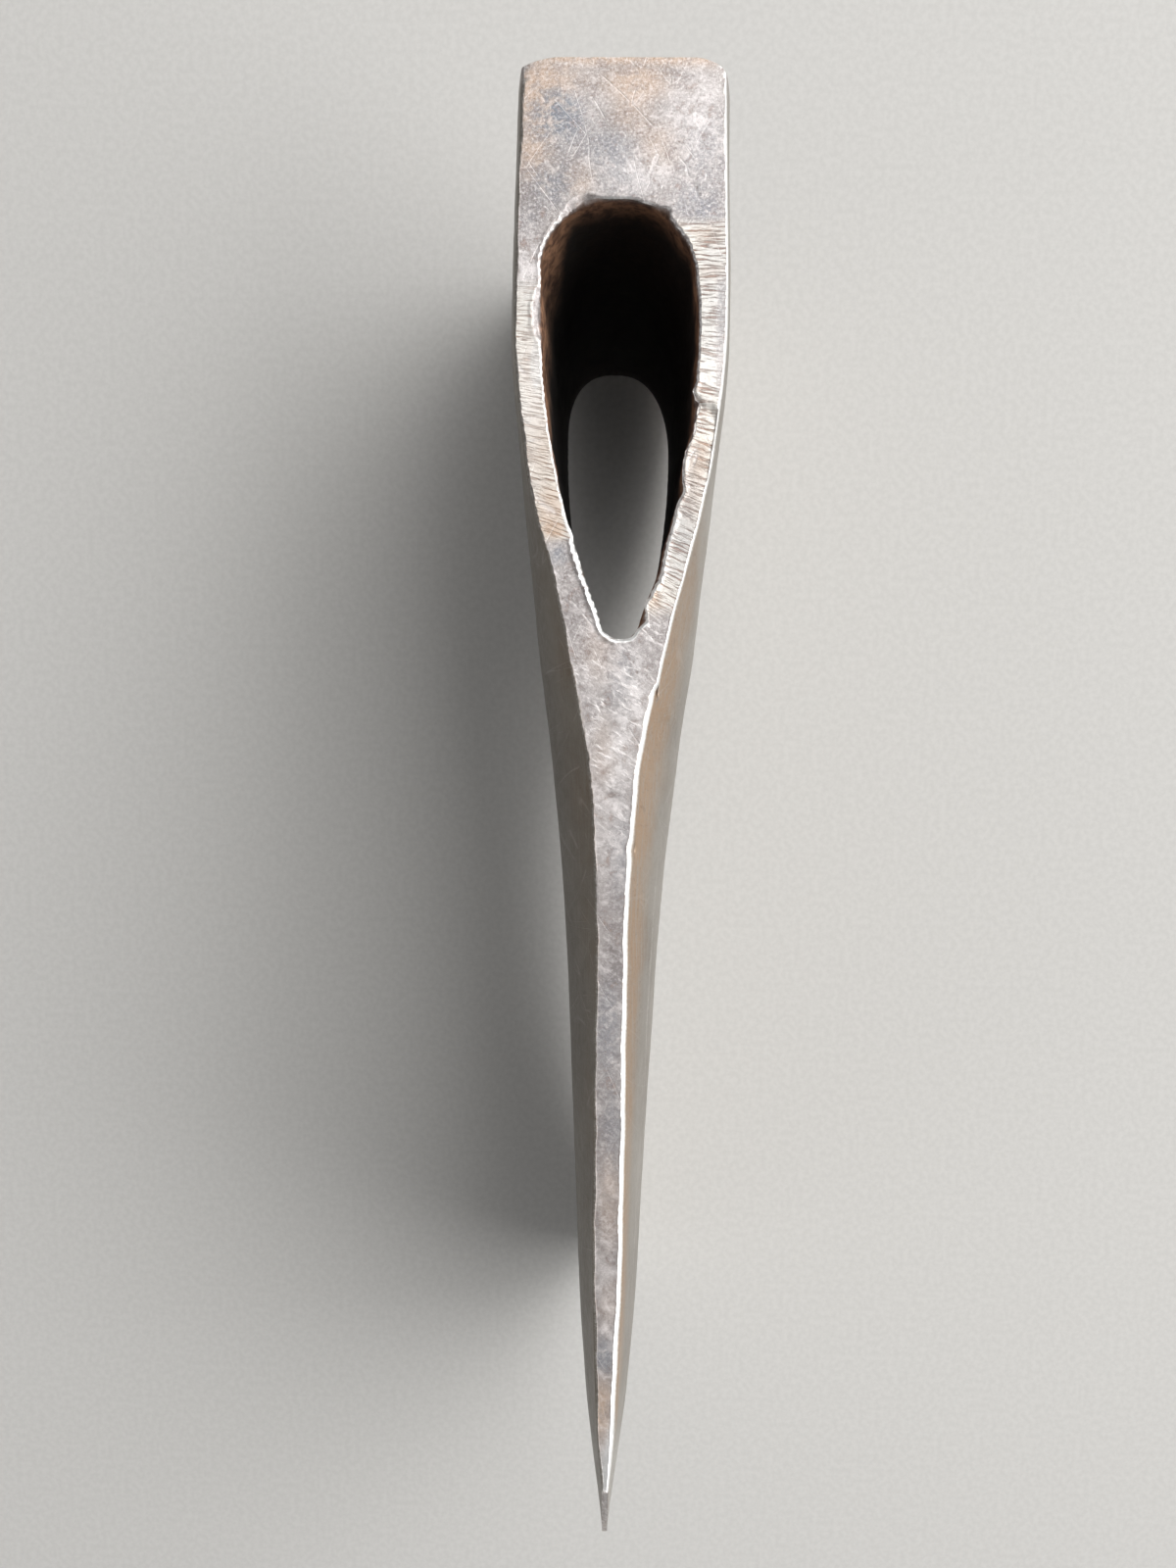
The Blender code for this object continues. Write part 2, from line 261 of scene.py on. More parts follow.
# Wear and damage of the head, in the same millimetres
headDamage = {
    # narrowing of the left arris, where the wall is filed thinner: place, width, depth
    "leftTrim": (67.5, 5.5, 0.35),
    # the right arris worn deeper: width and depth at its second step, then place, width and
    # depth of a kink and of the broader end at the toe
    "stepDeeper": (0.7, 0.3),
    "rightDeeper": ((105.0, 1.1, 0.35), (182.0, 5.0, 0.5)),
    # how unevenly both arrises are worn: height and length of two waves, right then left
    "rightWaves": ((0.05, 2.9), (0.04, 1.15)),
    "leftWaves": ((0.07, 3.7), (0.05, 1.3)),
    # pushes of the eye's rim, outward positive: x, s, radius, push, how deep it reaches
    "rimPushes": (
        (-10.6, 34.4, 2.6, 0.3, 2.0),
        (-9.7, 26.0, 3.2, 0.45, 30.0),
        (9.6, 26.0, 3.0, 0.3, 30.0),
        (5.6, 20.7, 0.9, 0.75, 1.2),
        (-4.0, 19.8, 1.6, 0.35, 1.0),
        (10.1, 44.2, 0.7, -0.35, 0.8),
        (9.9, 46.6, 0.9, 0.5, 1.2),
        (9.9, 49.2, 1.3, 0.45, 1.6),
        (8.6, 53.6, 2.0, -0.35, 1.5),
        (7.9, 57.4, 1.1, 0.45, 2.2),
        (-6.4, 63.6, 0.8, -0.25, 0.8),
        (5.6, 68.4, 1.6, 0.35, 1.2),
        (4.3, 72.6, 0.7, -0.45, 0.8),
        (3.5, 74.6, 0.8, 0.55, 1.2),
        (2.4, 75.8, 0.6, -0.3, 0.8),
    ),
    # small breaks all along the rim: size and three wave lengths
    "rimBreaks": (0.07, 3.1, 1.7, 1.05),
    # bright worn bevel of the rim: places along the eye and widths, left then right
    "bevelPlaces": (18.9, 30.5, 31.5, 37.2, 37.8, 42.0, 55.0, 63.5, 66.0, 74.0, 77.2),
    "bevelLeft": (0.25, 0.25, 0.85, 0.75, 0.25, 0.2, 0.2, 0.25, 0.42, 0.36, 0.3),
    "bevelRight": (0.2, 0.2, 0.2, 0.2, 0.2, 0.2, 0.22, 0.22, 0.24, 0.26, 0.3),
    # facet inside the nose: x, half width, extra bevel, and the place along the head it ends
    "noseFacet": (-5.8, 1.9, 0.6, 24.0),
    "bevelSlope": 0.8,
    "underBevel": 0.4,
    # burr thrown up beside the rim: place, length, height, left then right
    "burrLeft": ((24.0, 4.0, 0.07), (34.5, 3.2, 0.08), (66.0, 2.2, 0.14), (71.0, 3.6, 0.13),
                 (76.0, 2.0, 0.12)),
    "burrRight": ((43.6, 1.4, 0.14), (54.0, 2.4, 0.09), (61.0, 4.5, 0.13), (70.0, 3.0, 0.14),
                  (75.0, 1.5, 0.13)),
    # ledge across the right wall: x, s, rise of its line, drop, how far the drop fades
    "ledge": (10.2, 44.9, 0.8, 0.42, 8.0),
    # dents of the top face: x, s, half length, half width, turn in degrees, depth
    "topDents": (
        (12.2, 47.6, 1.0, 0.4, 60, 0.12),
        (-3.2, 8.4, 0.8, 0.45, 40, 0.10),
        (-2.4, 10.0, 0.7, 0.5, 70, 0.12),
        (-1.0, 6.6, 0.9, 0.18, 30, 0.08),
        (-7.2, 17.0, 0.9, 0.2, 70, -0.06),
        (9.6, 17.6, 1.1, 0.3, 60, 0.09),
        (-11.0, 21.8, 1.8, 0.22, 25, -0.05),
        (-6.9, 12.3, 0.5, 0.4, 0, 0.06),
        (4.8, 5.2, 0.6, 0.3, 20, 0.05),
        (7.6, 9.0, 0.7, 0.4, 80, 0.05),
        (-0.4, 98.2, 2.6, 0.3, 28, 0.09),
        (1.2, 100.2, 1.4, 0.22, 30, 0.06),
        (-0.3, 119.6, 2.3, 0.2, 12, -0.06),
        (0.6, 132.0, 0.8, 0.4, 30, 0.06),
        (0.2, 147.0, 0.7, 0.5, 0, 0.07),
        (-0.2, 155.0, 1.8, 0.2, 8, -0.05),
        (0.5, 166.0, 0.9, 0.4, 40, 0.07),
    ),
    # slow unevenness and rough forging: height, shortest and longest wave
    "topSwell": (0.05, 9.0, 26.0),
    "cheekSwell": (0.16, 9.0, 34.0),
    "cheekGrain": (0.035, 2.6, 6.0),
    "wallSwell": (0.30, 5.0, 14.0),
    "wallGrain": (0.10, 1.6, 4.0),
    # where the relief fades: along the head before the cutting edge, up or down a cheek towards
    # an arris, and down the eye's wall from its upper and its lower rim
    "edgeFade": (176.0, 186.0),
    "arrisFade": 3.0,
    "rimFades": (2.5, 10.0),
    # how far the wall's relief is drawn out down the eye
    "wallStretch": 0.45,
    # pits of the cheeks: count, first place and length, lowest and range, radii, depths
    "cheekDents": 90,
    "dentField": ((4, 165), (-14, 86)),
    "dentSizes": (0.9, 3.0),
    "dentDepths": (0.03, 0.14),
    # notches of the cutting edge: count, smallest half width and how much more, depths
    "edgeNicks": 26,
    "nickWidths": (0.004, 0.012),
    "nickDepths": (0.08, 0.35),
    "seed": 17,
}


def wornRight(s):
    # nearly sharp to the first step, then a facet that widens at the next, plus bells
    near, far = axeHead["arrisSteps"]
    sharp, narrow, broad = axeHead["rightWorn"]
    first, second = softStep(s, near - 0.6, near + 0.9), softStep(s, far - 1, far + 1)
    (high, long), (low, short) = headDamage["rightWaves"]
    wobble = high * np.sin(s / long) + low * np.sin(s / short + 1.0)
    worn = sharp + (narrow - sharp + wobble) * first + (broad - narrow) * second
    for place, width, depth in ((far, *headDamage["stepDeeper"]), *headDamage["rightDeeper"]):
        worn = worn + depth * bump(s, place, width)
    return worn


def wornLeft(s):
    # even wear plus two sine waves
    (high, long), (low, short) = headDamage["leftWaves"]
    return axeHead["leftWorn"] + high * np.sin(s / long) + low * np.sin(s / short)


def sideFace(s, side):
    # half width of the flat face on one side, with the filed place on the left
    place, width, depth = headDamage["leftTrim"]
    trim = depth * bump(s, place, width) if side < 0 else 0.0
    return faceHalfWidth(s) - trim


def cheekShares():
    # places up a cheek, -1 underside to 1 top, closest near both
    turn = np.linspace(0, math.pi / 2, axeHead["cornerColumns"] + 1)
    start = axeHead["cornerStart"]
    corner = start + (1 - start) * np.sin(turn)
    middle = np.linspace(-start, start, axeHead["middleColumns"] + 1)[1:-1]
    return np.concatenate([-corner[::-1], middle, corner])


def headRows():
    # distances of the rows along the top face, closer at the poll (1 - cos) and at the toe
    # (0.6 u + 0.4 sin), and the rows where the eye's ring starts and ends
    turn = np.linspace(0, math.pi / 2, axeHead["rimRows"] + 1)
    rim = axeHead["rimDepth"] * (1 - np.cos(turn))
    start, end = axeHead["ringEnds"]
    eye = np.linspace(start, end, axeHead["eyeRows"] + 1)
    u = np.linspace(0, 1, axeHead["bladeRows"] + 1)[1:]
    way = 0.6 * u + 0.4 * np.sin(u * math.pi / 2)
    blade = end + (edgePlace(1.0) - end) * way
    rows = np.concatenate([rim, eye, blade])
    first = len(rim)
    return rows, first, first + axeHead["eyeRows"]


def rolledIn(s, depth, power=2.0):
    # 0 on the flat, 1 at the poll face: 1 - (1 - r^p)^(1/p), r the share of the rim's depth
    share = np.clip((depth - s) / depth, 0, 1)
    return 1 - (1 - share ** power) ** (1 / power)


def cheekGrid(side, rows):
    # rows along the head by columns up it: under arris, cheek, top arris.
    # half = face + (belly - face) * (1 - |t|^p) - rim; an arris is w * (cos a)^q, w * (sin a)^q
    share = (rows / edgePlace(1.0))[:, None]
    t = cheekShares()[None, :]
    s = share * edgePlace(t)
    face = sideFace(s, side)
    belly = bellyHalfWidth(share * headLength)
    half = face + (belly - face) * (1 - np.abs(t) ** axeHead["cheekPower"])
    k = 0 if side < 0 else 1
    half = half - axeHead["rimWidth"] * rolledIn(s, axeHead["rimDepths"][k], axeHead["rimPowers"][k])
    depth, drop = axeHead["rimTop"]
    top = topHeight(s[:, -1:]) - drop * rolledIn(s[:, -1:], depth)
    depth, drop = axeHead["rimUnder"]
    bottom = bottomHeight(s[:, :1]) + drop * rolledIn(s[:, :1], depth)
    worn = wornRight(s[:, -1:]) if side > 0 else wornLeft(s[:, -1:])
    most = axeHead["arrisShare"] * half[:, -1:]
    wornTop = np.minimum(worn, most)
    wornUnder = np.minimum(axeHead["underWorn"], most)
    h = bottom + wornUnder + (top - bottom - wornTop - wornUnder) * (t + 1) / 2
    a = np.linspace(0, math.pi / 2, axeHead["arcColumns"] + 1)[None, 1:]
    out = np.cos(a) ** axeHead["arrisPower"]
    up = np.sin(a) ** axeHead["arrisPower"]
    out[0, -1] = 0.0
    topX = half[:, -1:] - wornTop * (1 - out)
    topH = top - wornTop * (1 - up)
    underX = (half[:, :1] - wornUnder * (1 - out))[:, ::-1]
    underH = (bottom + wornUnder * (1 - up))[:, ::-1]
    x = np.concatenate([underX, half, topX], axis=1) * side
    h = np.concatenate([underH, h, topH], axis=1)
    ends = np.ones_like(a)
    s = np.concatenate([s[:, :1] * ends, s, s[:, -1:] * ends], axis=1)
    return np.stack([x, s, h], axis=2)


def ringPlaces(rows, first, last):
    # the closed outer ring: down the right arris, across, up the left arris, across the poll
    n = axeHead["across"]
    right = np.stack([np.ones(last - first + 1), rows[first:last + 1]], axis=1)
    cross = np.linspace(1, -1, n + 1)[1:-1]
    low = np.stack([cross, np.full(n - 1, rows[last])], axis=1)
    left = right[::-1] * (-1, 1)
    high = np.stack([-cross, np.full(n - 1, rows[first])], axis=1)
    return np.concatenate([right, low, left, high])


def rimOutline(ring, rows, first, last):
    # each ring point's partner on the eye: sides by distance, nose and tip by their width
    noseX, tipX = axeHead["rimEnds"]
    side = np.sign(ring[:, 0])
    knots = [rows[first], *axeHead["ringPlaces"], rows[last]]
    s = smoothCurve(ring[:, 1], knots, axeHead["rimPlaces"])
    x = side * eyeHalfWidth(s)
    inner = np.abs(ring[:, 0]) < 1
    nose = inner & (ring[:, 1] < eyeWidest)
    noseAt = ring[:, 0] * noseX
    full = axeHead["eyeWidth"] / 2
    power = axeHead["nosePower"]
    away = (1 - (np.abs(noseAt) / full) ** power) ** (1 / power)
    x = np.where(nose, noseAt, x)
    s = np.where(nose, eyeWidest - axeHead["eyeNose"] * away, s)
    tip = inner & (ring[:, 1] > eyeWidest)
    tipAt = ring[:, 0] * tipX
    reach = np.sqrt(1 - (tipAt / (axeHead["tipWidth"] / 2)) ** 2)
    x = np.where(tip, tipAt, x)
    s = np.where(tip, eyeEnd - axeHead["tipLength"] * (1 - reach), s)
    middle = smoothCurve(s, axeHead["skewPlaces"], axeHead["skew"])
    return np.stack([x + middle, s], axis=1), middle


def ringNormals(points):
    # outward directions of a closed plan ring: its tangent turned by a right angle
    ahead = np.roll(points, -1, axis=0) - np.roll(points, 1, axis=0)
    ahead /= np.linalg.norm(ahead, axis=1)[:, None]
    return np.stack([ahead[:, 1], -ahead[:, 0]], axis=1)


def rimPush(points, depth):
    # sum of the bells that chips and burrs push the rim by, fading down the wall, and small
    # breaks as a product of sine waves
    push = np.zeros(len(points))
    for x, s, radius, amount, reach in headDamage["rimPushes"]:
        away = np.hypot(points[:, 0] - x, points[:, 1] - s) / radius
        push += amount * np.exp(-away ** 2.6 - (depth / reach) ** 2)
    size, long, middling, short = headDamage["rimBreaks"]
    way = 2 * math.pi * (points[:, 1] + 1.3 * np.sign(points[:, 0]))
    breaks = np.sin(way / long) * np.sin(way / middling + 1.0) + 0.6 * np.sin(way / short)
    return push + size * breaks * np.exp(-depth ** 2)


def rimBevel(points):
    # width of the worn bevel, by side, with the facet of the nose and small waves along it
    places = headDamage["bevelPlaces"]
    left = np.interp(points[:, 1], places, headDamage["bevelLeft"])
    right = np.interp(points[:, 1], places, headDamage["bevelRight"])
    blend = softStep(points[:, 0], -2.0, 2.0)
    wave = np.sin(points[:, 1] * 2.3) + np.sin(points[:, 1] * 5.1 + points[:, 0])
    x, width, extra, end = headDamage["noseFacet"]
    facet = extra * np.exp(-((points[:, 0] - x) / width) ** 4) * (points[:, 1] < end)
    return (left + (right - left) * blend) * (1 + 0.1 * wave) + facet


def eyeRings(rows, first, last):
    # everything the ring of the eye needs: outline, its normals and the bevel
    ring = ringPlaces(rows, first, last)
    points, middle = rimOutline(ring, rows, first, last)
    normals = ringNormals(points)
    return {"points": points, "middle": middle, "normals": normals, "bevel": rimBevel(points)}


def topRing(eye, outer):
    # from the lower end of the bevel, over it, then out to the arris with growing steps
    push = rimPush(eye["points"], 0.0)
    start = eye["points"] + eye["normals"] * push[:, None]
    q = np.linspace(0, 1, axeHead["bevelSteps"] + 1)
    offset = q[None, :, None] * eye["bevel"][:, None, None]
    bevel = start[:, None, :] + eye["normals"][:, None, :] * offset
    drop = headDamage["bevelSlope"] * eye["bevel"][:, None] * (1 - q[None, :])
    v = np.linspace(0, 1, axeHead["ringSteps"] + 1)[1:] ** axeHead["ringGrowth"]
    plan = outer[:, None, :2]
    flat = bevel[:, -1:, :] + (plan - bevel[:, -1:, :]) * v[None, :, None]
    places = np.concatenate([bevel, flat], axis=1)
    h = topHeight(places[:, :, 1])
    h[:, :drop.shape[1]] -= drop
    gap = np.linalg.norm(places - bevel[:, -1:, :], axis=2)
    gap[:, :drop.shape[1]] = 0.0
    return np.concatenate([places, h[:, :, None]], axis=2), gap


def underRing(eye, outer):
    # the same below: small even bevel, then out to the lower arris
    closing = 1 - axeHead["eyeDraft"] / (axeHead["eyeWidth"] / 2)
    x = eye["middle"] + (eye["points"][:, 0] - eye["middle"]) * closing
    start = np.stack([x, eye["points"][:, 1]], axis=1)
    q = np.linspace(0, 1, axeHead["bevelSteps"] + 1)
    size = headDamage["underBevel"]
    bevel = start[:, None, :] + eye["normals"][:, None, :] * (q * size)[None, :, None]
    v = np.linspace(0, 1, axeHead["underRingSteps"] + 1)[1:]
    flat = bevel[:, -1:, :] + (outer[:, None, :2] - bevel[:, -1:, :]) * v[None, :, None]
    places = np.concatenate([bevel, flat], axis=1)
    h = bottomHeight(places[:, :, 1])
    h[:, :len(q)] += size * (1 - q) ** 1.3
    return np.concatenate([places, h[:, :, None]], axis=2)


def eyeWall(eye, topEdge, underEdge):
    # levels down the eye: the outline closes in by the draft and the pushes fade out
    v = np.linspace(0, 1, axeHead["wallSteps"] + 1)
    v = 0.5 * v + 0.5 * v ** 2
    h = topEdge[:, 2:] + (underEdge[:, 2:] - topEdge[:, 2:]) * v[None, :]
    levels = []
    for k in range(len(v)):
        depth = eyeHeight - h[:, k]
        closing = 1 - depth / eyeHeight * axeHead["eyeDraft"] / (axeHead["eyeWidth"] / 2)
        x = eye["middle"] + (eye["points"][:, 0] - eye["middle"]) * closing
        place = np.stack([x, eye["points"][:, 1]], axis=1)
        push = rimPush(eye["points"], depth)
        place = place + eye["normals"] * push[:, None]
        levels.append(np.concatenate([place, h[:, k:k + 1]], axis=1))
    wall = np.stack(levels, axis=1)
    wall[:, 0] = topEdge
    wall[:, -1] = underEdge
    return wall


# The grids that are welded into one closed skin, the kinds of surface, and the greatest
# distance that the weld closes, in millimetres
patches = []
zones = ("top", "cheek", "wall", "under", "end")
weldGap = 0.0015


def zoneMasks(zone):
    # 1 at the points of each kind of surface, by its name
    return {name: (zone == k) * 1.0 for k, name in enumerate(zones)}


def addPatch(points, zone, rimGap=99.0, closed=False):
    # keep a grid of points with its zone and its distance from the eye's rim
    if closed:
        points = np.concatenate([points, points[:1]], axis=0)
        if np.ndim(rimGap):
            rimGap = np.concatenate([rimGap, rimGap[:1]], axis=0)
    gap = np.broadcast_to(rimGap, points.shape[:2])
    patches.append((points, zones.index(zone), gap))


def gridQuads(rows, columns, start):
    # corner numbers of every cell of a grid
    here = (np.arange(rows - 1)[:, None] * columns + np.arange(columns - 1)[None, :]).ravel()
    return start + np.stack([here, here + columns, here + columns + 1, here + 1], axis=1)


def between(one, other, steps):
    # straight lines from one column of points to another
    v = np.linspace(0, 1, steps + 1)[None, :, None]
    return one[:, None, :] * (1 - v) + other[:, None, :] * v


def addHeadPatches():
    # two cheeks, both ends, top and underside before, around and behind the eye, and its wall
    rows, first, last = headRows()
    right = cheekGrid(1, rows)
    left = cheekGrid(-1, rows)
    addPatch(right, "cheek")
    addPatch(left, "cheek")
    n = axeHead["across"]
    addPatch(between(right[0], left[0], n), "end")
    addPatch(between(right[-1], left[-1], n), "end")
    topSheet = between(right[:, -1], left[:, -1], n)
    underSheet = between(right[:, 0], left[:, 0], n)
    for part in (slice(0, first + 1), slice(last, None)):
        addPatch(topSheet[part], "top")
        addPatch(underSheet[part], "under")
    eye = eyeRings(rows, first, last)
    outers = []
    for sheet in (topSheet, underSheet):
        outers.append(np.concatenate([
            sheet[first:last + 1, 0], sheet[last, 1:-1],
            sheet[first:last + 1, -1][::-1], sheet[first, 1:-1][::-1]]))
    top, gap = topRing(eye, outers[0])
    under = underRing(eye, outers[1])
    addPatch(top, "top", gap, closed=True)
    addPatch(under, "under", closed=True)
    addPatch(eyeWall(eye, top[:, 0], under[:, 0]), "wall", 0.0, closed=True)


def weldPatches(name):
    # one mesh of all grids, doubles merged, then normals outward; zone and gap ride along
    points = np.concatenate([p.reshape(-1, 3) for p, _, _ in patches])
    points = points * (1, -1, 1)
    quads, start = [], 0
    for p, _, _ in patches:
        quads.append(gridQuads(p.shape[0], p.shape[1], start))
        start += p.shape[0] * p.shape[1]
    mesh = bpy.data.meshes.new(name)
    mesh.from_pydata(points.tolist(), [], np.concatenate(quads).tolist())
    zone = np.concatenate([np.full(p.shape[0] * p.shape[1], z, float) for p, z, _ in patches])
    gap = np.concatenate([g.ravel() for _, _, g in patches])
    for label, values in (("zone", zone), ("rimGap", gap)):
        mesh.attributes.new(label, "FLOAT", "POINT").data.foreach_set("value", values)
    work = bmesh.new()
    work.from_mesh(mesh)
    bmesh.ops.remove_doubles(work, verts=work.verts, dist=weldGap)
    bmesh.ops.dissolve_degenerate(work, edges=work.edges, dist=weldGap / 3)
    bmesh.ops.recalc_face_normals(work, faces=work.faces)
    openEdges = sum(1 for edge in work.edges if not edge.is_manifold)
    print("welded head:", len(work.verts), "points,", openEdges, "open edges")
    work.to_mesh(mesh)
    work.free()
    return mesh


def waves(points, seed, shortest, longest, count=28):
    # sum of sine waves in random directions, each as high as it is long, about -1 to 1
    dice = np.random.RandomState(seed)
    total = np.zeros(len(points))
    weight = 0.0
    for k in range(count):
        length = shortest * (longest / shortest) ** dice.rand()
        direction = dice.normal(size=3)
        direction /= np.linalg.norm(direction)
        size = (length / longest) ** 0.7
        total += size * np.sin(points @ direction * (2 * math.pi / length) + dice.rand() * 6.3)
        weight += size * size / 2
    return np.clip(total / (2.2 * math.sqrt(weight)), -1, 1)


def dentField(x, s, dents):
    # sum of depth * exp(-|along|^3 - aside^2) in each dent's turned plane, into the steel
    depth = np.zeros(len(x))
    for cx, cs, length, width, turn, amount in dents:
        c, d = math.cos(math.radians(turn)), math.sin(math.radians(turn))
        along = ((x - cx) * c + (s - cs) * d) / length
        aside = (-(x - cx) * d + (s - cs) * c) / width
        depth += amount * np.exp(-np.abs(along) ** 3 - aside ** 2)
    return depth


def burrField(x, s, gap):
    # a low ridge beside the rim: bells along the listed places times a bell across the gap
    height = np.zeros(len(x))
    for side, burrs in ((-1, headDamage["burrLeft"]), (1, headDamage["burrRight"])):
        for place, length, rise in burrs:
            height += np.where(x * side > 0, rise * bump(s, place, length), 0.0)
    return height * bump(gap, 0.2, 0.3)


def ledgeField(x, s):
    # past a slanting line across the right wall the face lies lower, and rises back slowly
    atX, atS, rise, drop, fade = headDamage["ledge"]
    past = s - atS - rise * (x - atX) - 0.25 * np.sin(2.4 * x)
    return drop * softStep(past, -0.1, 0.5) * np.exp(-np.clip(past, 0, None) / fade) * (x > 4)


def cheekDents(x, s, h, seed):
    # seeded hammer and scale pits on both cheeks: sum of depth * exp(-(r / radius)^2)
    dice = np.random.RandomState(seed)
    depth = np.zeros(len(x))
    low, high = headDamage["dentSizes"]
    shallow, deep = headDamage["dentDepths"]
    (first, length), (lowest, tall) = headDamage["dentField"]
    for k in range(headDamage["cheekDents"]):
        side = 1 if dice.rand() < 0.5 else -1
        place, height = first + length * dice.rand(), lowest + tall * dice.rand()
        radius = low * (high / low) ** dice.rand()
        away = ((s - place) ** 2 + (h - height) ** 2) / radius ** 2
        near = (x * side > 0) & (away < 9)
        depth[near] += (shallow + (deep - shallow) * dice.rand() ** 2) * np.exp(-away[near])
    return depth


def heightShare(s, h):
    # -1 at the underside, 1 at the top face
    return 2 * (h - bottomHeight(s)) / (topHeight(s) - bottomHeight(s)) - 1


def edgeNicks(s, h, seed):
    # small notches that push the cutting edge back: a sum of bells along it
    dice = np.random.RandomState(seed)
    t = heightShare(s, h)
    back = np.zeros(len(s))
    near = s > edgePlace(np.clip(t, -1, 1)) - 2.5
    thin, wider = headDamage["nickWidths"]
    shallow, deeper = headDamage["nickDepths"]
    for k in range(headDamage["edgeNicks"]):
        place, width, size = -0.98 + 1.96 * dice.rand(), thin + wider * dice.rand(), dice.rand()
        back += (shallow + deeper * size ** 3) * bump(t, place, width) * near
    return back


def reliefAlong(points, zone, gap):
    # how far each point moves along its normal: swell, grain, dents and burrs by zone
    x, s, h = points[:, 0], -points[:, 1], points[:, 2]
    seed = headDamage["seed"]
    move = np.zeros(len(x))
    parts = zoneMasks(zone)
    top, cheek, wall = parts["top"], parts["cheek"], parts["wall"]
    fine = softStep(s, *headDamage["edgeFade"])
    height, shortest, longest = headDamage["topSwell"]
    move -= np.where(top + parts["under"], height * (1 - waves(points, seed, shortest, longest)) / 2, 0)
    move -= np.where(top, dentField(x, s, headDamage["topDents"]) + ledgeField(x, s), 0)
    move += np.where(top, burrField(x, s, gap), 0)
    fade = headDamage["arrisFade"]
    for key, step in (("cheekSwell", 1), ("cheekGrain", 2)):
        height, shortest, longest = headDamage[key]
        wave = waves(points, seed + step, shortest, longest)
        room = np.clip((topHeight(s) - h) / fade, 0, 1) * np.clip((h - bottomHeight(s)) / fade, 0, 1)
        move -= np.where(cheek, height * (1 - wave) / 2 * room * (1 - 0.85 * fine), 0)
    move -= np.where(cheek, cheekDents(x, s, h, seed + 3) * (1 - fine), 0)
    upper, lower = headDamage["rimFades"]
    depth = np.clip((eyeHeight - h) / upper, 0, 1) * np.clip((h - 1) / lower, 0, 1) ** 2
    stretched = points * (1, 1, headDamage["wallStretch"])
    for key, step in (("wallSwell", 4), ("wallGrain", 5)):
        height, shortest, longest = headDamage[key]
        move += np.where(wall, height * waves(stretched, seed + step, shortest, longest) * depth, 0)
    return move


def readPoints(data, label, width):
    # one value or one row of them for each point, as a whole array
    values = np.empty(len(data) * width)
    data.foreach_get(label, values)
    return values.reshape(-1, width) if width > 1 else values


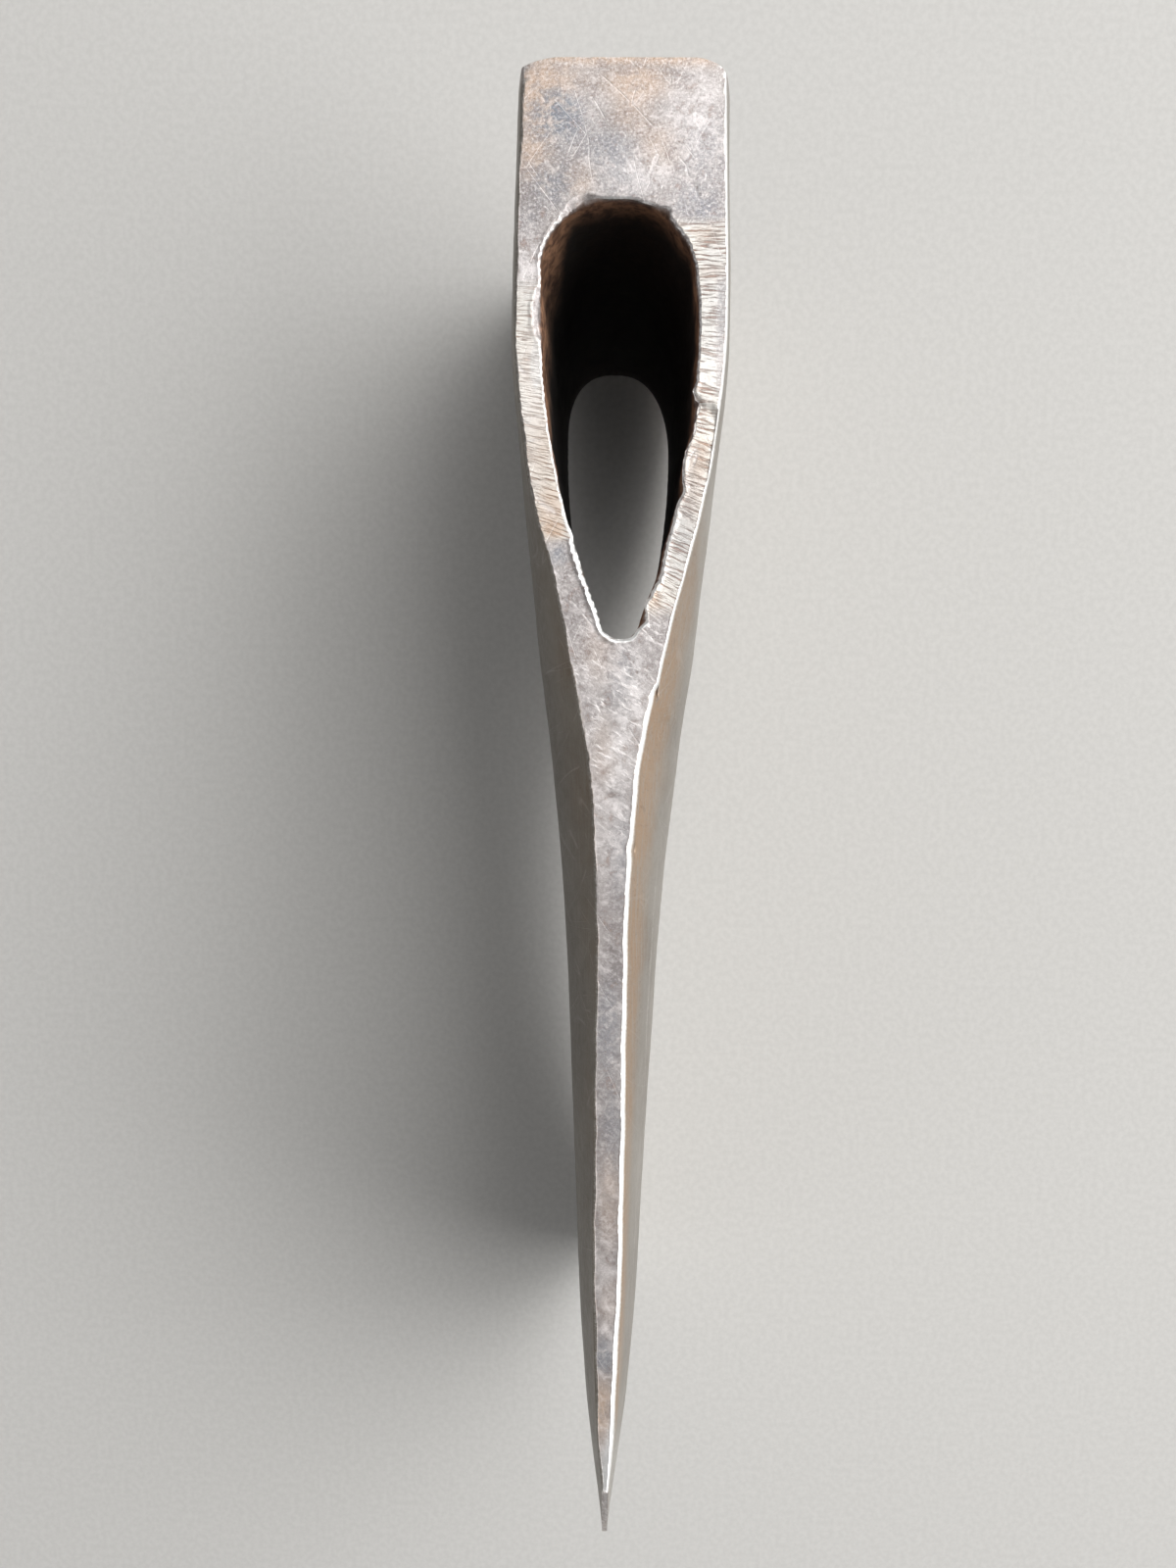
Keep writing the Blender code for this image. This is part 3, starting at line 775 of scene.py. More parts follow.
# Where each finish lies, in head millimetres
headFinish = {
    # warm brown and cool grey places of the top face: x, s, half width, half length, strength
    "warm": (
        (-10.5, 4.5, 5.0, 4.5, 1.0), (-11.5, 12.0, 2.6, 5.5, 0.8), (1.5, 3.6, 4.5, 2.6, 0.8),
        (5.4, 12.0, 3.2, 3.0, 0.55), (-6.0, 16.5, 2.2, 2.2, 0.5), (1.0, 8.0, 2.6, 2.4, 0.45),
        (11.4, 23.6, 1.8, 1.4, 0.6), (11.8, 28.6, 1.8, 1.0, 0.5), (10.6, 53.0, 1.6, 3.0, 0.8),
        (9.6, 58.0, 1.4, 4.0, 0.7), (-11.8, 42.0, 1.6, 5.0, 0.6), (-11.0, 52.0, 2.2, 5.0, 0.75),
        (-9.0, 60.5, 1.9, 3.6, 1.0), (-8.3, 63.0, 1.4, 0.9, 1.0), (4.9, 71.8, 1.0, 1.6, 0.8),
        (-2.0, 79.0, 2.4, 4.0, 0.4), (-1.5, 92.0, 1.6, 5.0, 0.35), (0.2, 150.0, 1.6, 7.0, 0.35),
        (0.4, 163.0, 1.4, 3.0, 0.35), (-0.4, 175.5, 1.6, 4.0, 0.8),
    ),
    "cool": (
        (-8.6, 8.0, 3.8, 4.0, 1.3), (-9.6, 16.8, 3.4, 3.2, 0.8), (-1.6, 12.6, 3.6, 3.0, 0.7),
        (0.5, 16.8, 3.6, 2.4, 0.5), (9.4, 19.6, 3.0, 2.6, 0.6), (-12.4, 21.5, 1.6, 2.0, 0.4),
        (12.4, 31.0, 2.8, 13.0, 0.6), (8.6, 60.0, 3.0, 12.0, 0.75), (-8.0, 66.0, 1.6, 1.6, 0.9),
        (10.0, 12.0, 4.0, 5.0, 0.5), (3.4, 68.0, 1.6, 1.5, 0.5),
        (0.6, 82.0, 2.0, 5.0, 0.5), (1.2, 106.0, 1.6, 6.0, 0.5), (-0.4, 128.0, 1.8, 6.0, 0.6),
        (0.4, 141.0, 1.6, 5.0, 0.5), (-0.3, 169.0, 1.4, 2.2, 0.9),
    ),
    "pale": (
        (-1.0, 83.0, 6.0, 12.0, 0.45), (0.2, 101.0, 3.0, 9.0, 0.5), (0.9, 180.0, 1.0, 5.0, 0.6),
        (0.4, 162.0, 1.4, 8.0, 0.5), (-0.5, 181.0, 1.2, 3.0, 0.4), (0.9, 90.0, 1.4, 4.0, 0.4),
        (9.5, 8.5, 4.0, 6.0, 0.8), (3.0, 15.5, 4.0, 3.0, 0.6), (-5.0, 5.5, 3.0, 1.5, 0.4),
        (12.0, 40.0, 2.4, 4.5, 0.4), (-10.9, 40.8, 0.9, 3.4, 1.3), (-12.0, 46.0, 2.2, 12.0, 0.7),
        (-12.3, 28.0, 1.8, 5.0, 0.9), (-8.5, 69.5, 1.0, 3.0, 0.6), (2.8, 84.0, 1.6, 5.0, 0.6),
    ),
    # stretches along the head, where a finish starts, is full, is still full and ends:
    # cross filing at the left and right, the right wall's outer strip that filing missed, the
    # grey chip, the part of the eye's left wall with painted light, the bright toe, the painted
    # glint on the right cheek, and the brushed web
    "filedLeft": (29.0, 31.5, 63.8, 64.6),
    "filedRight": (20.8, 23.3, 72.0, 75.0),
    "missed": (28.0, 31.0, 43.0, 46.0),
    "chip": (30.4, 31.2, 37.0, 37.6),
    "paintedLitWall": (20.0, 24.0, 34.0, 50.0),
    "toe": (172.0, 184.0, 186.0, 189.0),
    "glint": (92.0, 104.0, 156.0, 172.0),
    "brushed": (66.0, 78.0, 90.0, 112.0),
    # curves along the head, as places and values: lean of the file strokes in degrees,
    # brightness of the right arris and of the eye's rim, worn steel with painted highlight on
    # both, the rim's bright width, and how far down the cheek its tan strip reaches
    "strokeLean": ((28, 55, 75, 92), (0, 16, 28, 24)),
    "arrisWearAndHighlight": ((2, 12, 44, 47, 66, 80, 84), (0.5, 0.9, 0.9, 0.62, 0.62, 0.85, 1.0)),
    "rimWearAndHighlight": ((19, 30, 56, 62), (0.5, 0.6, 0.6, 1.0)),
    "rimWidth": ((19, 56, 62, 76, 79), (0.13, 0.13, 0.3, 0.34, 0.26)),
    "tanReach": ((60, 100, 150), (8.0, 6.0, 4.0)),
    # left arris: its worn brightness, without the painted highlight of the right one. Both: how
    # far down they shine
    "leftArrisWear": 0.35,
    "arrisReach": 0.55,
    # how bright each part of worn steel and painted highlight is at most
    "wearAndHighlightShares": {"arris": 1.0, "rim": 1.0, "wall": 0.4, "poll": 0.3, "toe": 0.65, "glint": 0.42,
             "cap": 0.42},
    # depth under the top of the painted glint, a pale line on the right cheek only, and half
    # its width
    "paintedGlintPlace": (9.5, 1.1),
    # where the poll's rolled rim turns into the cheek's finish
    "cheekStart": (1.4, 4.5),
    # width of the ground bevel behind the cutting edge, twice over
    "groundBevel": 22.0,
}


def softSpots(x, s, spots):
    # flat topped bells at the listed places: sum of strength * exp(-r^3)
    total = np.zeros(len(x))
    for cx, cs, width, length, strength in spots:
        away = ((x - cx) / width) ** 2 + ((s - cs) / length) ** 2
        total += strength * np.exp(-away ** 1.5)
    return np.clip(total, 0, 1.3)


def stretchMask(s, name, fall=1.0):
    # 0 to 1 between a stretch's first two places, down by the fall between the last two
    start, full, high, end = headFinish[name]
    return softStep(s, start, full) * (1 - fall * softStep(s, high, end))


def strokeLine(x, s):
    # distance across the file strokes, s - x * tan(lean), as they lean ever more
    return s - x * np.tan(np.radians(np.interp(s, *headFinish["strokeLean"])))


def wearAndHighlightMask(x, s, gap, parts, side, under):
    # bright worn steel and painted highlight: the greatest of arris, rim, wall, poll, toe and
    # painted glint, 0 to 1
    look, top = headFinish, parts["top"]
    least = look["leftArrisWear"]
    # the right arris is painted brighter than the left: worn steel with painted highlight
    arris = parts["cheek"] * np.exp(-(under / look["arrisReach"]) ** 2)
    arris *= least + (np.interp(s, *look["arrisWearAndHighlight"]) - least) * side
    # the chip at the left and the facet in the nose stay grey, the beads past the filing shine
    facet, width, _, end = headDamage["noseFacet"]
    grey = stretchMask(s, "chip") * (x < 0)
    grey = np.maximum(grey, np.exp(-((x - facet) / width) ** 4) * (s < end))
    # the rim's worn bevel, with beads of painted glints along it
    beads = 0.78 + 0.3 * np.sin(5.2 * s + 2 * side) * np.sin(2.3 * s) + 0.18 * np.sin(9.1 * s)
    rim = top * np.exp(-(gap / np.interp(s, *look["rimWidth"])) ** 2) * beads
    rim *= np.interp(s, *look["rimWearAndHighlight"]) * (1 - 0.75 * grey * (gap < 0.02))
    start, full, high, end = look["toe"]
    depth, width = look["paintedGlintPlace"]
    shining = {
        "arris": arris,
        "rim": rim,
        "wall": parts["upperWall"] * (1 - grey),
        "poll": np.exp(-((s - 0.8) / 1.2) ** 2) * (1 - parts["wall"]),
        "toe": top * softStep(s + 2.5 * x, start, full) * (1 - 0.5 * softStep(s, high, end)),
        # painted highlight: a pale line along the right cheek
        "glint": parts["cheek"] * side * bump(under, depth, width) * stretchMask(s, "glint"),
        "cap": parts["toeCap"],
    }
    return np.clip(np.maximum.reduce([look["wearAndHighlightShares"][name] * shining[name] for name in shining]), 0, 1)


def finishMasks(points, zone, gap):
    # one value per point for each finish, from its zone and place
    x, s, h = points[:, 0], -points[:, 1], points[:, 2]
    parts = zoneMasks(zone)
    # the lower rim's seam counts as wall, so that no bright teeth show there
    seam = parts["under"] * (h > bottomHeight(s) + 0.9 * headDamage["underBevel"])
    parts["wall"] = np.maximum(parts["wall"], seam)
    parts["upperWall"] = parts["wall"] * np.exp(-((eyeHeight - h) / 0.7) ** 2)
    parts["toeCap"] = parts["end"] * (s > eyeEnd)
    top, cheek, wall = parts["top"], parts["cheek"], parts["wall"]
    side = softStep(x, -0.4, 0.4)
    under = np.clip(topHeight(s) - h, 0, None)
    filed = stretchMask(s, "filedLeft") * (1 - side) + stretchMask(s, "filedRight") * side
    filed *= top * (gap > 0.03) * softStep(np.abs(x), 2.5, 4.0)
    filed *= 1 - 0.7 * softStep(x, 12.0, 13.2) * stretchMask(s, "missed")
    spots = {key: softSpots(x, s, headFinish[key]) * top for key in ("warm", "cool", "pale")}
    farEdge = top * np.exp(-(s / 1.3) ** 2)
    strip = cheek * np.exp(-(under / np.interp(s, *headFinish["tanReach"])) ** 2.4)
    strip *= (0.3 + 0.7 * side) * softStep(s, 48, 86)
    # painted light: the eye's left wall keeps its rust colour deeper down
    paintedLit = (1 - side) * stretchMask(s, "paintedLitWall", 0.7)
    cheek = cheek * softStep(s, *headFinish["cheekStart"])
    toEdge = np.clip(edgePlace(np.clip(heightShare(s, h), -1, 1)) - s, 0, None)
    return {
        "warm": np.maximum(spots["warm"], farEdge) + strip + 0.3 * parts["toeCap"],
        "cool": spots["cool"],
        "pale": spots["pale"],
        "wearAndHighlight": wearAndHighlightMask(x, s, gap, parts, side, under),
        "rust": np.clip(wall - 0.9 * parts["upperWall"], 0, 1),
        "filed": filed,
        # painted shade: the eye's wall darkens with depth, starting lower where light is painted
        "deep": wall * softStep(eyeHeight - h, 3 * paintedLit, 8 + 18 * paintedLit),
        "cheek": cheek,
        # painted shade: marks the left cheek, which the steel darkens
        "paintedLeftShade": cheek * (1 - side),
        "ground": parts["cheek"] * np.clip(1 - toEdge / headFinish["groundBevel"], 0, 1),
        "stroke": strokeLine(x, s),
        "brushed": top * stretchMask(s, "brushed", 0.75),
        "speckled": 1 - 0.6 * top * softStep(s, 66, 92),
    }


def addItem(name, data, matrix=None):
    # a new object in the scene, placed by its matrix where it has one
    item = bpy.data.objects.new(name, data)
    if matrix is not None:
        item.matrix_world = matrix
    bpy.context.scene.collection.objects.link(item)
    return item


def makeAxeHead():
    # weld the grids, read their masks, move each point by normal * relief, then to the world
    addHeadPatches()
    mesh = weldPatches("axeHeadSkin")
    points = readPoints(mesh.vertices, "co", 3)
    zone, gap = (readPoints(mesh.attributes[label].data, "value", 1) for label in ("zone", "rimGap"))
    masks = finishMasks(points, zone, gap)
    normals = readPoints(mesh.vertex_normals, "vector", 3)
    points = points + normals * reliefAlong(points, zone, gap)[:, None]
    points[:, 1] += edgeNicks(-points[:, 1], points[:, 2], headDamage["seed"] + 9)
    world = toWorld(points[:, 0], -points[:, 1], points[:, 2])
    world = np.clip(world, np.array(cadBox[0]), np.array(cadBox[1]))
    mesh.vertices.foreach_set("co", world.ravel())
    for label in ("zone", "rimGap"):
        mesh.attributes.remove(mesh.attributes[label])
    for label, values in masks.items():
        mesh.attributes.new(label, "FLOAT", "POINT").data.foreach_set("value", values)
    mesh.update()
    mesh.shade_smooth()
    mesh.set_sharp_from_angle(angle=math.radians(50))
    print("axe head:", len(mesh.polygons), "faces")
    return addItem("axeHeadSkin", mesh)


def tone(red, green, blue):
    # a colour of 0 to 255 as the linear values that a shader takes
    c = np.array([red, green, blue]) / 255
    linear = np.where(c <= 0.04045, c / 12.92, ((c + 0.055) / 1.055) ** 2.4)
    return (*linear.tolist(), 1.0)


class NodePad:
    # short ways to add nodes and to join them
    def __init__(self, name):
        self.material = bpy.data.materials.new(name)
        self.material.use_nodes = True
        self.tree = self.material.node_tree
        self.shader = self.tree.nodes["Principled BSDF"]

    def node(self, kind, inputs=None, **settings):
        # a new node with its settings, its sockets filled or linked
        item = self.tree.nodes.new(kind)
        for key, value in settings.items():
            setattr(item, key, value)
        for key, value in (inputs or {}).items():
            self.put(value, item.inputs[key])
        return item

    def put(self, value, socket):
        # link an output, or set a plain value
        if isinstance(value, bpy.types.NodeSocket):
            self.tree.links.new(value, socket)
        else:
            socket.default_value = value

    def maths(self, operation, a, b=0.0):
        # one operation on one or two numbers
        item = self.node("ShaderNodeMath", {0: a, 1: b}, operation=operation)
        return item.outputs[0]

    def times(self, a, b):
        return self.maths("MULTIPLY", a, b)

    def about(self, value, share):
        # share * (value - 0.5)
        return self.times(self.maths("SUBTRACT", value, 0.5), share)

    def blend(self, amount, low, high, way="MIX"):
        # a colour between low and high
        item = self.node("ShaderNodeMix", data_type="RGBA", blend_type=way)
        for value, k in ((amount, 0), (low, 6), (high, 7)):
            self.put(value, item.inputs[k])
        return item.outputs[2]

    def mixed(self, amount, low, high):
        # a number between low and high
        item = self.node("ShaderNodeMix", {0: amount, 2: low, 3: high}, data_type="FLOAT")
        return item.outputs[0]

    def ramp(self, value, low, high, bottom=0.0, top=1.0):
        # smooth from bottom at low to top at high
        item = self.node("ShaderNodeMapRange", {0: value, 1: low, 2: high, 3: bottom, 4: top},
                         interpolation_type="SMOOTHSTEP")
        return item.outputs[0]

    def layer(self, colour, over, value, low, high, share):
        # a tone laid over a colour by share * ramp(value)
        return self.blend(self.times(self.ramp(value, low, high), share), colour, over)

    def mask(self, label):
        # what the points of the skin carry under this name
        return self.node("ShaderNodeAttribute", attribute_name=label).outputs["Fac"]

    def noise(self, place, scale, detail=3.0, rough=0.55, warp=0.0):
        # fractal noise of 0 to 1, its cells 1 / scale long
        item = self.node("ShaderNodeTexNoise", {
            "Vector": place, "Scale": scale, "Detail": detail, "Roughness": rough,
            "Distortion": warp})
        return item.outputs["Fac"]

    def stretch(self, place, scale):
        # place * scale, part by part
        item = self.node("ShaderNodeVectorMath", {0: place, 1: scale}, operation="MULTIPLY")
        return item.outputs[0]

    def turned(self, place, turn, scale):
        # turned about the head's height first, then stretched
        item = self.node("ShaderNodeMapping", {
            "Vector": place, "Rotation": (0, 0, math.radians(turn)),
            "Scale": tuple(1 / part for part in scale)}, vector_type="TEXTURE")
        return item.outputs[0]

    def hairline(self, place, width):
        # 1 on a thin contour of a noise, 0 a little beside it: |noise - 0.5| against the width
        away = self.maths("ABSOLUTE", self.maths("SUBTRACT", self.noise(place, 1.0, 1, 0.4), 0.5))
        return self.ramp(away, 0.0, width, 1.0, 0.0)

    def join(self, x, y):
        # a flat place from two numbers
        item = self.node("ShaderNodeCombineXYZ", {0: x, 1: y})
        return item.outputs[0]


steelLook = {
    # top face: ground tones, then warm, cool and pale places, pits, and bright worn steel that
    # also gives painted highlight
    "base": tone(180, 173, 170),
    "dusk": tone(150, 143, 141),
    "warm": tone(208, 182, 160),
    "cool": tone(140, 144, 151),
    "pale": tone(236, 230, 228),
    "pit": tone(108, 84, 72),
    "groove": tone(168, 134, 114),
    "filedPale": tone(246, 241, 232),
    "bright": tone(248, 247, 244),
    # cheeks
    "cheek": tone(157, 151, 144),
    "cheekPale": tone(177, 172, 165),
    "cheekDark": tone(124, 115, 105),
    # painted shade, multiplied over the left cheek
    "cheekPaintedShade": tone(178, 175, 170),
    "cheekWarm": tone(186, 157, 130),
    "ground": tone(204, 201, 196),
    "groundDark": tone(176, 172, 166),
    # eye
    "rust": tone(164, 122, 92),
    "rustDark": tone(80, 52, 37),
    # painted shade deep inside the eye
    "paintedEyeShade": tone(11, 8, 6),
    "metallic": 0.88,
    "roughTop": 0.5,
    "roughCheek": 0.42,
    "roughBright": 0.32,
    "roughRust": 0.85,
    "bumpDepth": 0.00006,
    # families of scratches: turn in degrees, width, scale
    "scratches": ((62, 0.010, 0.8), (-50, 0.010, 0.6), (14, 0.007, 1.15), (112, 0.008, 0.75)),
}


def steelGrains(pad, place):
    # noises that all finishes share, in head millimetres, from clouds to grain
    return {
        "clouds": pad.noise(place, 0.12, 4, 0.6, 0.6),
        "soft": pad.noise(place, 0.3, 3, 0.5),
        "mottle": pad.noise(place, 0.55, 6, 0.7, 0.4),
        "speckle": pad.noise(place, 2.4, 7, 0.82),
        "grain": pad.noise(place, 7.0, 3, 0.6),
    }


def scratchLines(pad, place):
    # long hairlines in several directions, each broken by a second noise
    total = 0.0
    for turn, width, scale in steelLook["scratches"]:
        line = pad.hairline(pad.turned(place, turn, (0.04 * scale, 0.35 * scale, 0.01)), width)
        broken = pad.ramp(pad.noise(pad.turned(place, turn, (0.2, 0.3, 0.01)), 1.0, 3), 0.5, 0.62)
        total = pad.maths("MAXIMUM", total, pad.times(line, broken))
    return total


def fileStrokes(pad, across, stroke):
    # ridges of the cross filing, 0 in a groove: noise stretched along each stroke
    wobble = pad.noise(pad.join(pad.times(across, 0.35), pad.times(stroke, 0.5)), 1.0, 2)
    at = pad.maths("ADD", stroke, pad.times(wobble, 0.5))
    fine = pad.noise(pad.join(pad.times(across, 0.3), pad.times(at, 3.4)), 1.0, 3, 0.6)
    return pad.ramp(fine, 0.36, 0.53)


def topTones(pad, across, stroke, grains, ridges):
    # mottled base, listed places, flecks and pits, brushed streaks, then filed walls
    look = steelLook
    mottle, speckle = grains["mottle"], grains["speckle"]
    speckled = pad.mask("speckled")
    colour = pad.blend(pad.ramp(grains["clouds"], 0.35, 0.65), look["base"], look["dusk"])
    for label, low, high in (("warm", 0.3, 0.56), ("cool", 0.68, 0.42), ("pale", 0.36, 0.6)):
        amount = pad.times(pad.mask(label), pad.ramp(mottle, low, high, 0.15, 0.95))
        colour = pad.blend(amount, colour, look[label])
    colour = pad.layer(colour, look["pale"], mottle, 0.53, 0.66, 0.4)
    colour = pad.layer(colour, look["pale"], speckle, 0.49, 0.63, pad.times(speckled, 0.72))
    colour = pad.layer(colour, look["groove"], mottle, 0.46, 0.3, 0.35)
    colour = pad.layer(colour, look["pit"], speckle, 0.46, 0.34, pad.times(speckled, 0.75))
    streaks = pad.noise(pad.join(pad.times(across, 0.6), pad.times(stroke, 1.3)), 1.0, 4, 0.6, 0.3)
    patchy = pad.times(pad.mask("brushed"), pad.ramp(grains["soft"], 0.4, 0.62))
    streaks = pad.times(patchy, pad.ramp(streaks, 0.48, 0.64))
    colour = pad.blend(pad.times(streaks, 0.8), colour, look["pale"])
    fileTone = pad.blend(ridges, look["groove"], look["filedPale"])
    for label, share, shade in (("warm", 0.6, "warm"), ("cool", 0.5, "cool"), ("pale", 0.55, "bright")):
        fileTone = pad.blend(pad.times(pad.mask(label), share), fileTone, look[shade])
    return pad.blend(pad.times(pad.mask("filed"), 0.8), colour, fileTone), streaks


def cheekTones(pad, place, grains):
    # satin steel: thin brown patina with speckled borders, fine streaks, pits, ground bevel,
    # then painted shade over the left cheek
    look = steelLook
    wide = pad.noise(place, 0.05, 5, 0.6, 0.3)
    colour = pad.blend(pad.ramp(wide, 0.3, 0.72), look["cheek"], look["cheekPale"])
    patina = pad.ramp(pad.noise(pad.turned(place, 40, (0.1, 0.1, 0.1)), 1.0, 9, 0.75), 0.4, 0.66)
    colour = pad.blend(pad.times(patina, 0.34), colour, look["cheekDark"])
    streaks = pad.noise(pad.stretch(place, (2.6, 0.1, 2.6)), 1.0, 4, 0.65)
    rubbed = pad.noise(pad.stretch(place, (2.2, 2.2, 0.09)), 1.0, 4, 0.65)
    border = pad.maths("ADD", pad.mask("warm"), pad.about(patina, 0.25))
    colour = pad.blend(pad.ramp(border, 0.0, 1.0, 0.0, 0.8), colour, look["cheekWarm"])
    colour = pad.layer(colour, look["cheekPale"], streaks, 0.48, 0.64, 0.55)
    colour = pad.layer(colour, look["cheekPale"], rubbed, 0.52, 0.68, 0.25)
    colour = pad.layer(colour, look["cheekDark"], grains["mottle"], 0.42, 0.3, 0.3)
    colour = pad.layer(colour, look["pit"], grains["speckle"], 0.43, 0.35, 0.6)
    lines = pad.noise(pad.stretch(place, (5.0, 5.0, 0.2)), 1.0, 3, 0.6)
    honed = pad.blend(pad.ramp(lines, 0.36, 0.62), look["groundDark"], look["ground"])
    border = pad.maths("ADD", pad.mask("ground"), pad.about(wide, 0.5))
    colour = pad.layer(colour, honed, border, 0.42, 0.56, 0.75)
    # painted shade: the left cheek is multiplied darker than the right
    return pad.blend(pad.mask("paintedLeftShade"), colour, look["cheekPaintedShade"], "MULTIPLY"), streaks


def makeSteel():
    # one steel for the whole skin: finishes are mixed by the masks that its points carry
    pad = NodePad("agedSteel")
    look = steelLook
    # head millimetres: the world place turned back by the pitch of the head
    place = pad.node("ShaderNodeMapping", {
        "Vector": pad.node("ShaderNodeTexCoord").outputs["Object"], "Location": headOrigin,
        "Rotation": (math.atan2(-upAxis[1], upAxis[2]), 0, 0), "Scale": (mm, mm, mm),
    }, vector_type="TEXTURE").outputs[0]
    across = pad.node("ShaderNodeSeparateXYZ", {"Vector": place}).outputs[0]
    stroke, cheek, rust, filed = (pad.mask(label) for label in ("stroke", "cheek", "rust", "filed"))
    grains = steelGrains(pad, place)
    mottle, speckle = grains["mottle"], grains["speckle"]
    ridges = fileStrokes(pad, across, stroke)
    scratches = pad.times(scratchLines(pad, place), pad.mask("speckled"))

    topColour, brushed = topTones(pad, across, stroke, grains, ridges)
    cheekColour, cheekStreaks = cheekTones(pad, place, grains)
    colour = pad.blend(cheek, topColour, cheekColour)
    colour = pad.blend(pad.times(scratches, pad.ramp(cheek, 0, 1, 0.5, 0.1)), colour, look["pale"])
    # worn steel and painted highlight, laid on in the bright tone
    wearAndHighlight = pad.ramp(pad.maths("ADD", pad.mask("wearAndHighlight"), pad.about(speckle, 0.6)), 0.25, 0.75)
    colour = pad.blend(wearAndHighlight, colour, look["bright"])
    rustTone = pad.blend(pad.ramp(mottle, 0.36, 0.64), look["rustDark"], look["rust"])
    # painted shade: the rust turns near black deeper in the eye
    rustTone = pad.blend(pad.times(pad.mask("deep"), 0.97), rustTone, look["paintedEyeShade"])
    colour = pad.blend(rust, colour, rustTone)
    pad.put(colour, pad.shader.inputs["Base Color"])

    metal = pad.times(pad.maths("SUBTRACT", 1.0, pad.times(rust, 0.9)), look["metallic"])
    pad.put(metal, pad.shader.inputs["Metallic"])
    rough = pad.ramp(cheek, 0, 1, look["roughTop"], look["roughCheek"])
    rough = pad.maths("ADD", rough, pad.about(mottle, 0.35))
    rough = pad.mixed(wearAndHighlight, rough, look["roughBright"])
    pad.put(pad.mixed(rust, rough, look["roughRust"]), pad.shader.inputs["Roughness"])

    # relief too fine for the mesh: grain, pits, file ridges, streaks and scratches
    height = pad.times(speckle, pad.times(pad.ramp(cheek, 0, 1, 0.7, 0.35), pad.mask("speckled")))
    for part, strength in ((grains["grain"], 0.25), (pad.times(ridges, filed), 0.9), (brushed, 0.3),
                           (pad.times(cheekStreaks, cheek), 0.5), (scratches, -0.4),
                           (pad.times(mottle, rust), 3.0)):
        height = pad.maths("ADD", height, pad.times(part, strength))
    surface = pad.node("ShaderNodeBump", {
        "Height": height, "Strength": 1.0, "Distance": look["bumpDepth"]})
    pad.put(surface.outputs[0], pad.shader.inputs["Normal"])
    return pad.material


floorLook = {
    # side of the square in metres, and how many cells it has along it
    "size": 3.4,
    "cells": 24,
    "colour": tone(206, 204, 200),
    "fleck": tone(199, 197, 193),
    "roughness": 0.9,
}


def makeFloor():
    # a flat pale sheet under the head, with a faint unevenness of tone
    half, cells = floorLook["size"] / 2, floorLook["cells"]
    grid = np.linspace(-half, half, cells + 1)
    x, y = np.meshgrid(grid, grid, indexing="ij")
    points = np.stack([x, y, np.zeros_like(x)], axis=2).reshape(-1, 3)
    mesh = bpy.data.meshes.new("floor")
    mesh.from_pydata(points.tolist(), [], gridQuads(cells + 1, cells + 1, 0).tolist())
    pad = NodePad("paleFloor")
    fine = pad.noise(pad.node("ShaderNodeTexCoord").outputs["Object"], 900.0, 3, 0.6)
    colour = pad.blend(pad.ramp(fine, 0.3, 0.7), floorLook["fleck"], floorLook["colour"])
    pad.put(colour, pad.shader.inputs["Base Color"])
    pad.shader.inputs["Roughness"].default_value = floorLook["roughness"]
    mesh.materials.append(pad.material)
    addItem("floor", mesh)


studio = {
    # soft boxes: place and target in metres, size, radiance
    "high": ((1.1, 1.0, 1.45), (0.0, 0.0, 0.05), (1.8, 1.6), 4.9),
    "side": ((1.1, -0.15, 0.85), (0.0, 0.0, 0.05), (1.0, 0.7), 3.2),
    "fill": ((-1.6, -0.7, 1.0), (0.0, 0.0, 0.05), (1.2, 1.0), 0.6),
    "worldColour": (0.97, 0.98, 1.0, 1.0),
    # strength of the surroundings level with the floor and overhead, and where it has changed
    "wallStrength": 0.62,
    "overheadStrength": 0.24,
    "wallTop": 0.55,
}


def placedFrame(place, right, up, back):
    # the matrix of a place and three directions of length one
    turn = Matrix([tuple(part) for part in (right, up, back)]).transposed().to_4x4()
    return Matrix.Translation(tuple(place)) @ turn


def addSoftBox(name):
    # an area light that looks at its target, with energy = radiance * pi * area
    place, target, size, radiance = studio[name]
    light = bpy.data.lights.new(name, "AREA")
    light.shape = "RECTANGLE"
    light.size, light.size_y = size
    light.energy = radiance * math.pi * size[0] * size[1]
    back = (Vector(place) - Vector(target)).normalized()
    right = Vector((0, 1, 0)).cross(back).normalized()
    addItem(name, light, placedFrame(place, right, back.cross(right), back))


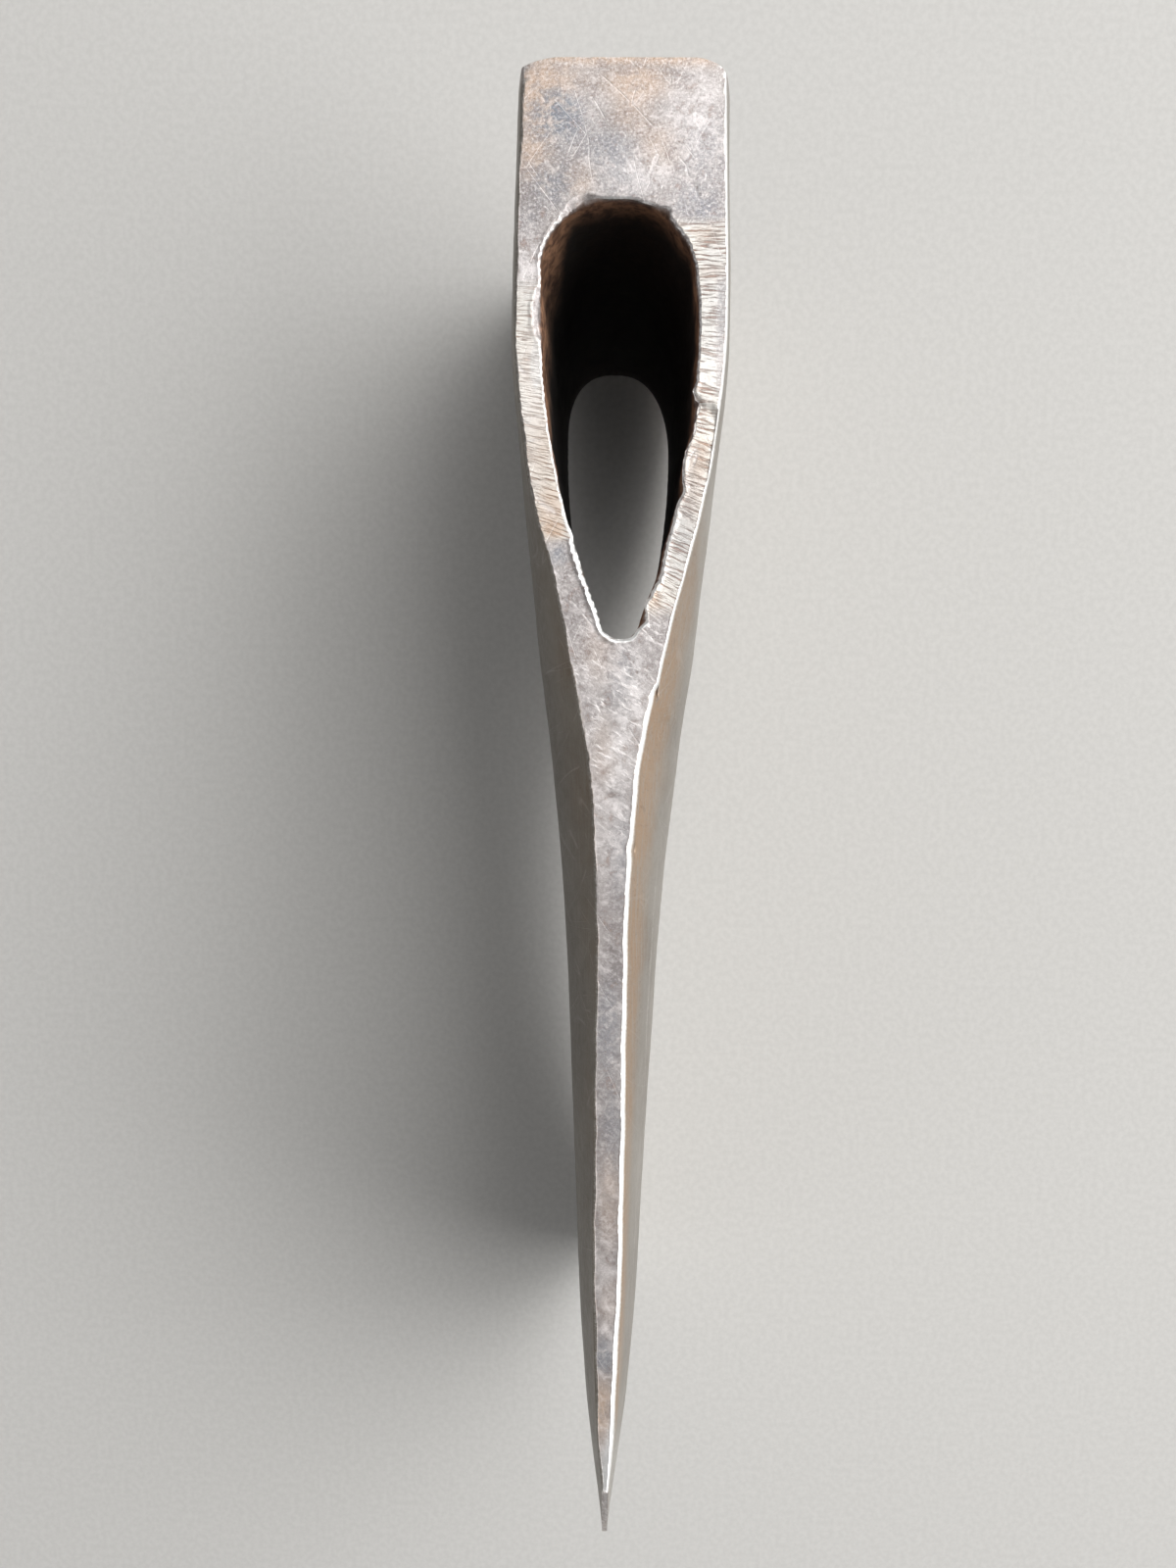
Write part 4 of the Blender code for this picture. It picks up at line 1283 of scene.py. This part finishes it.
def addWorld():
    # strength by the height of the direction: wall level with the floor, then smoothly overhead
    world = bpy.data.worlds.new("softWorld")
    world.use_nodes = True
    back = world.node_tree.nodes["Background"]
    back.inputs["Color"].default_value = studio["worldColour"]
    tree = world.node_tree
    way = tree.nodes.new("ShaderNodeTexCoord")
    part = tree.nodes.new("ShaderNodeSeparateXYZ")
    fade = tree.nodes.new("ShaderNodeMapRange")
    fade.interpolation_type = "SMOOTHSTEP"
    fade.inputs["From Max"].default_value = studio["wallTop"]
    fade.inputs["To Min"].default_value = studio["wallStrength"]
    fade.inputs["To Max"].default_value = studio["overheadStrength"]
    tree.links.new(way.outputs["Object"], part.inputs[0])
    tree.links.new(part.outputs[2], fade.inputs["Value"])
    tree.links.new(fade.outputs[0], back.inputs["Strength"])
    bpy.context.scene.world = world
    bpy.context.scene.view_settings.view_transform = "Standard"


camera = {
    # place in head millimetres, height above the top face, lean of the view as slopes, roll in
    # radians, then lens and sensor in millimetres and the nearest distance seen in metres
    "x": -0.106,
    "s": 97.48,
    "above": 163.0,
    "lean": (0.0207, 0.0067),
    "roll": 0.0134,
    "lens": 28.4,
    "sensor": 36.0,
    "nearest": 0.01,
}


def addCamera():
    # back = up axis + lean, across = right axis turned by the roll, the poll up in the picture
    place = toWorld(camera["x"], camera["s"], eyeHeight + camera["above"])
    leanX, leanS = camera["lean"]
    back = upAxis + leanX * rightAxis - leanS * pollAxis
    back /= np.linalg.norm(back)
    c, d = math.cos(camera["roll"]), math.sin(camera["roll"])
    right = c * rightAxis + d * pollAxis
    right -= (right @ back) * back
    right /= np.linalg.norm(right)
    up = np.cross(back, right)
    data = bpy.data.cameras.new("camera")
    data.lens = camera["lens"]
    data.sensor_width = camera["sensor"]
    data.clip_start = camera["nearest"]
    bpy.context.scene.camera = addItem("camera", data, placedFrame(place, right, up, back))


addCamera()
addWorld()
for softBox in ("high", "side", "fill"):
    addSoftBox(softBox)
print("camera and lights placed")
makeFloor()
print("floor laid")
head = makeAxeHead()
head.data.materials.append(makeSteel())
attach(head, "root")
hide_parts("axe_head")
print("axe head finished")

bpy.context.view_layer.update()
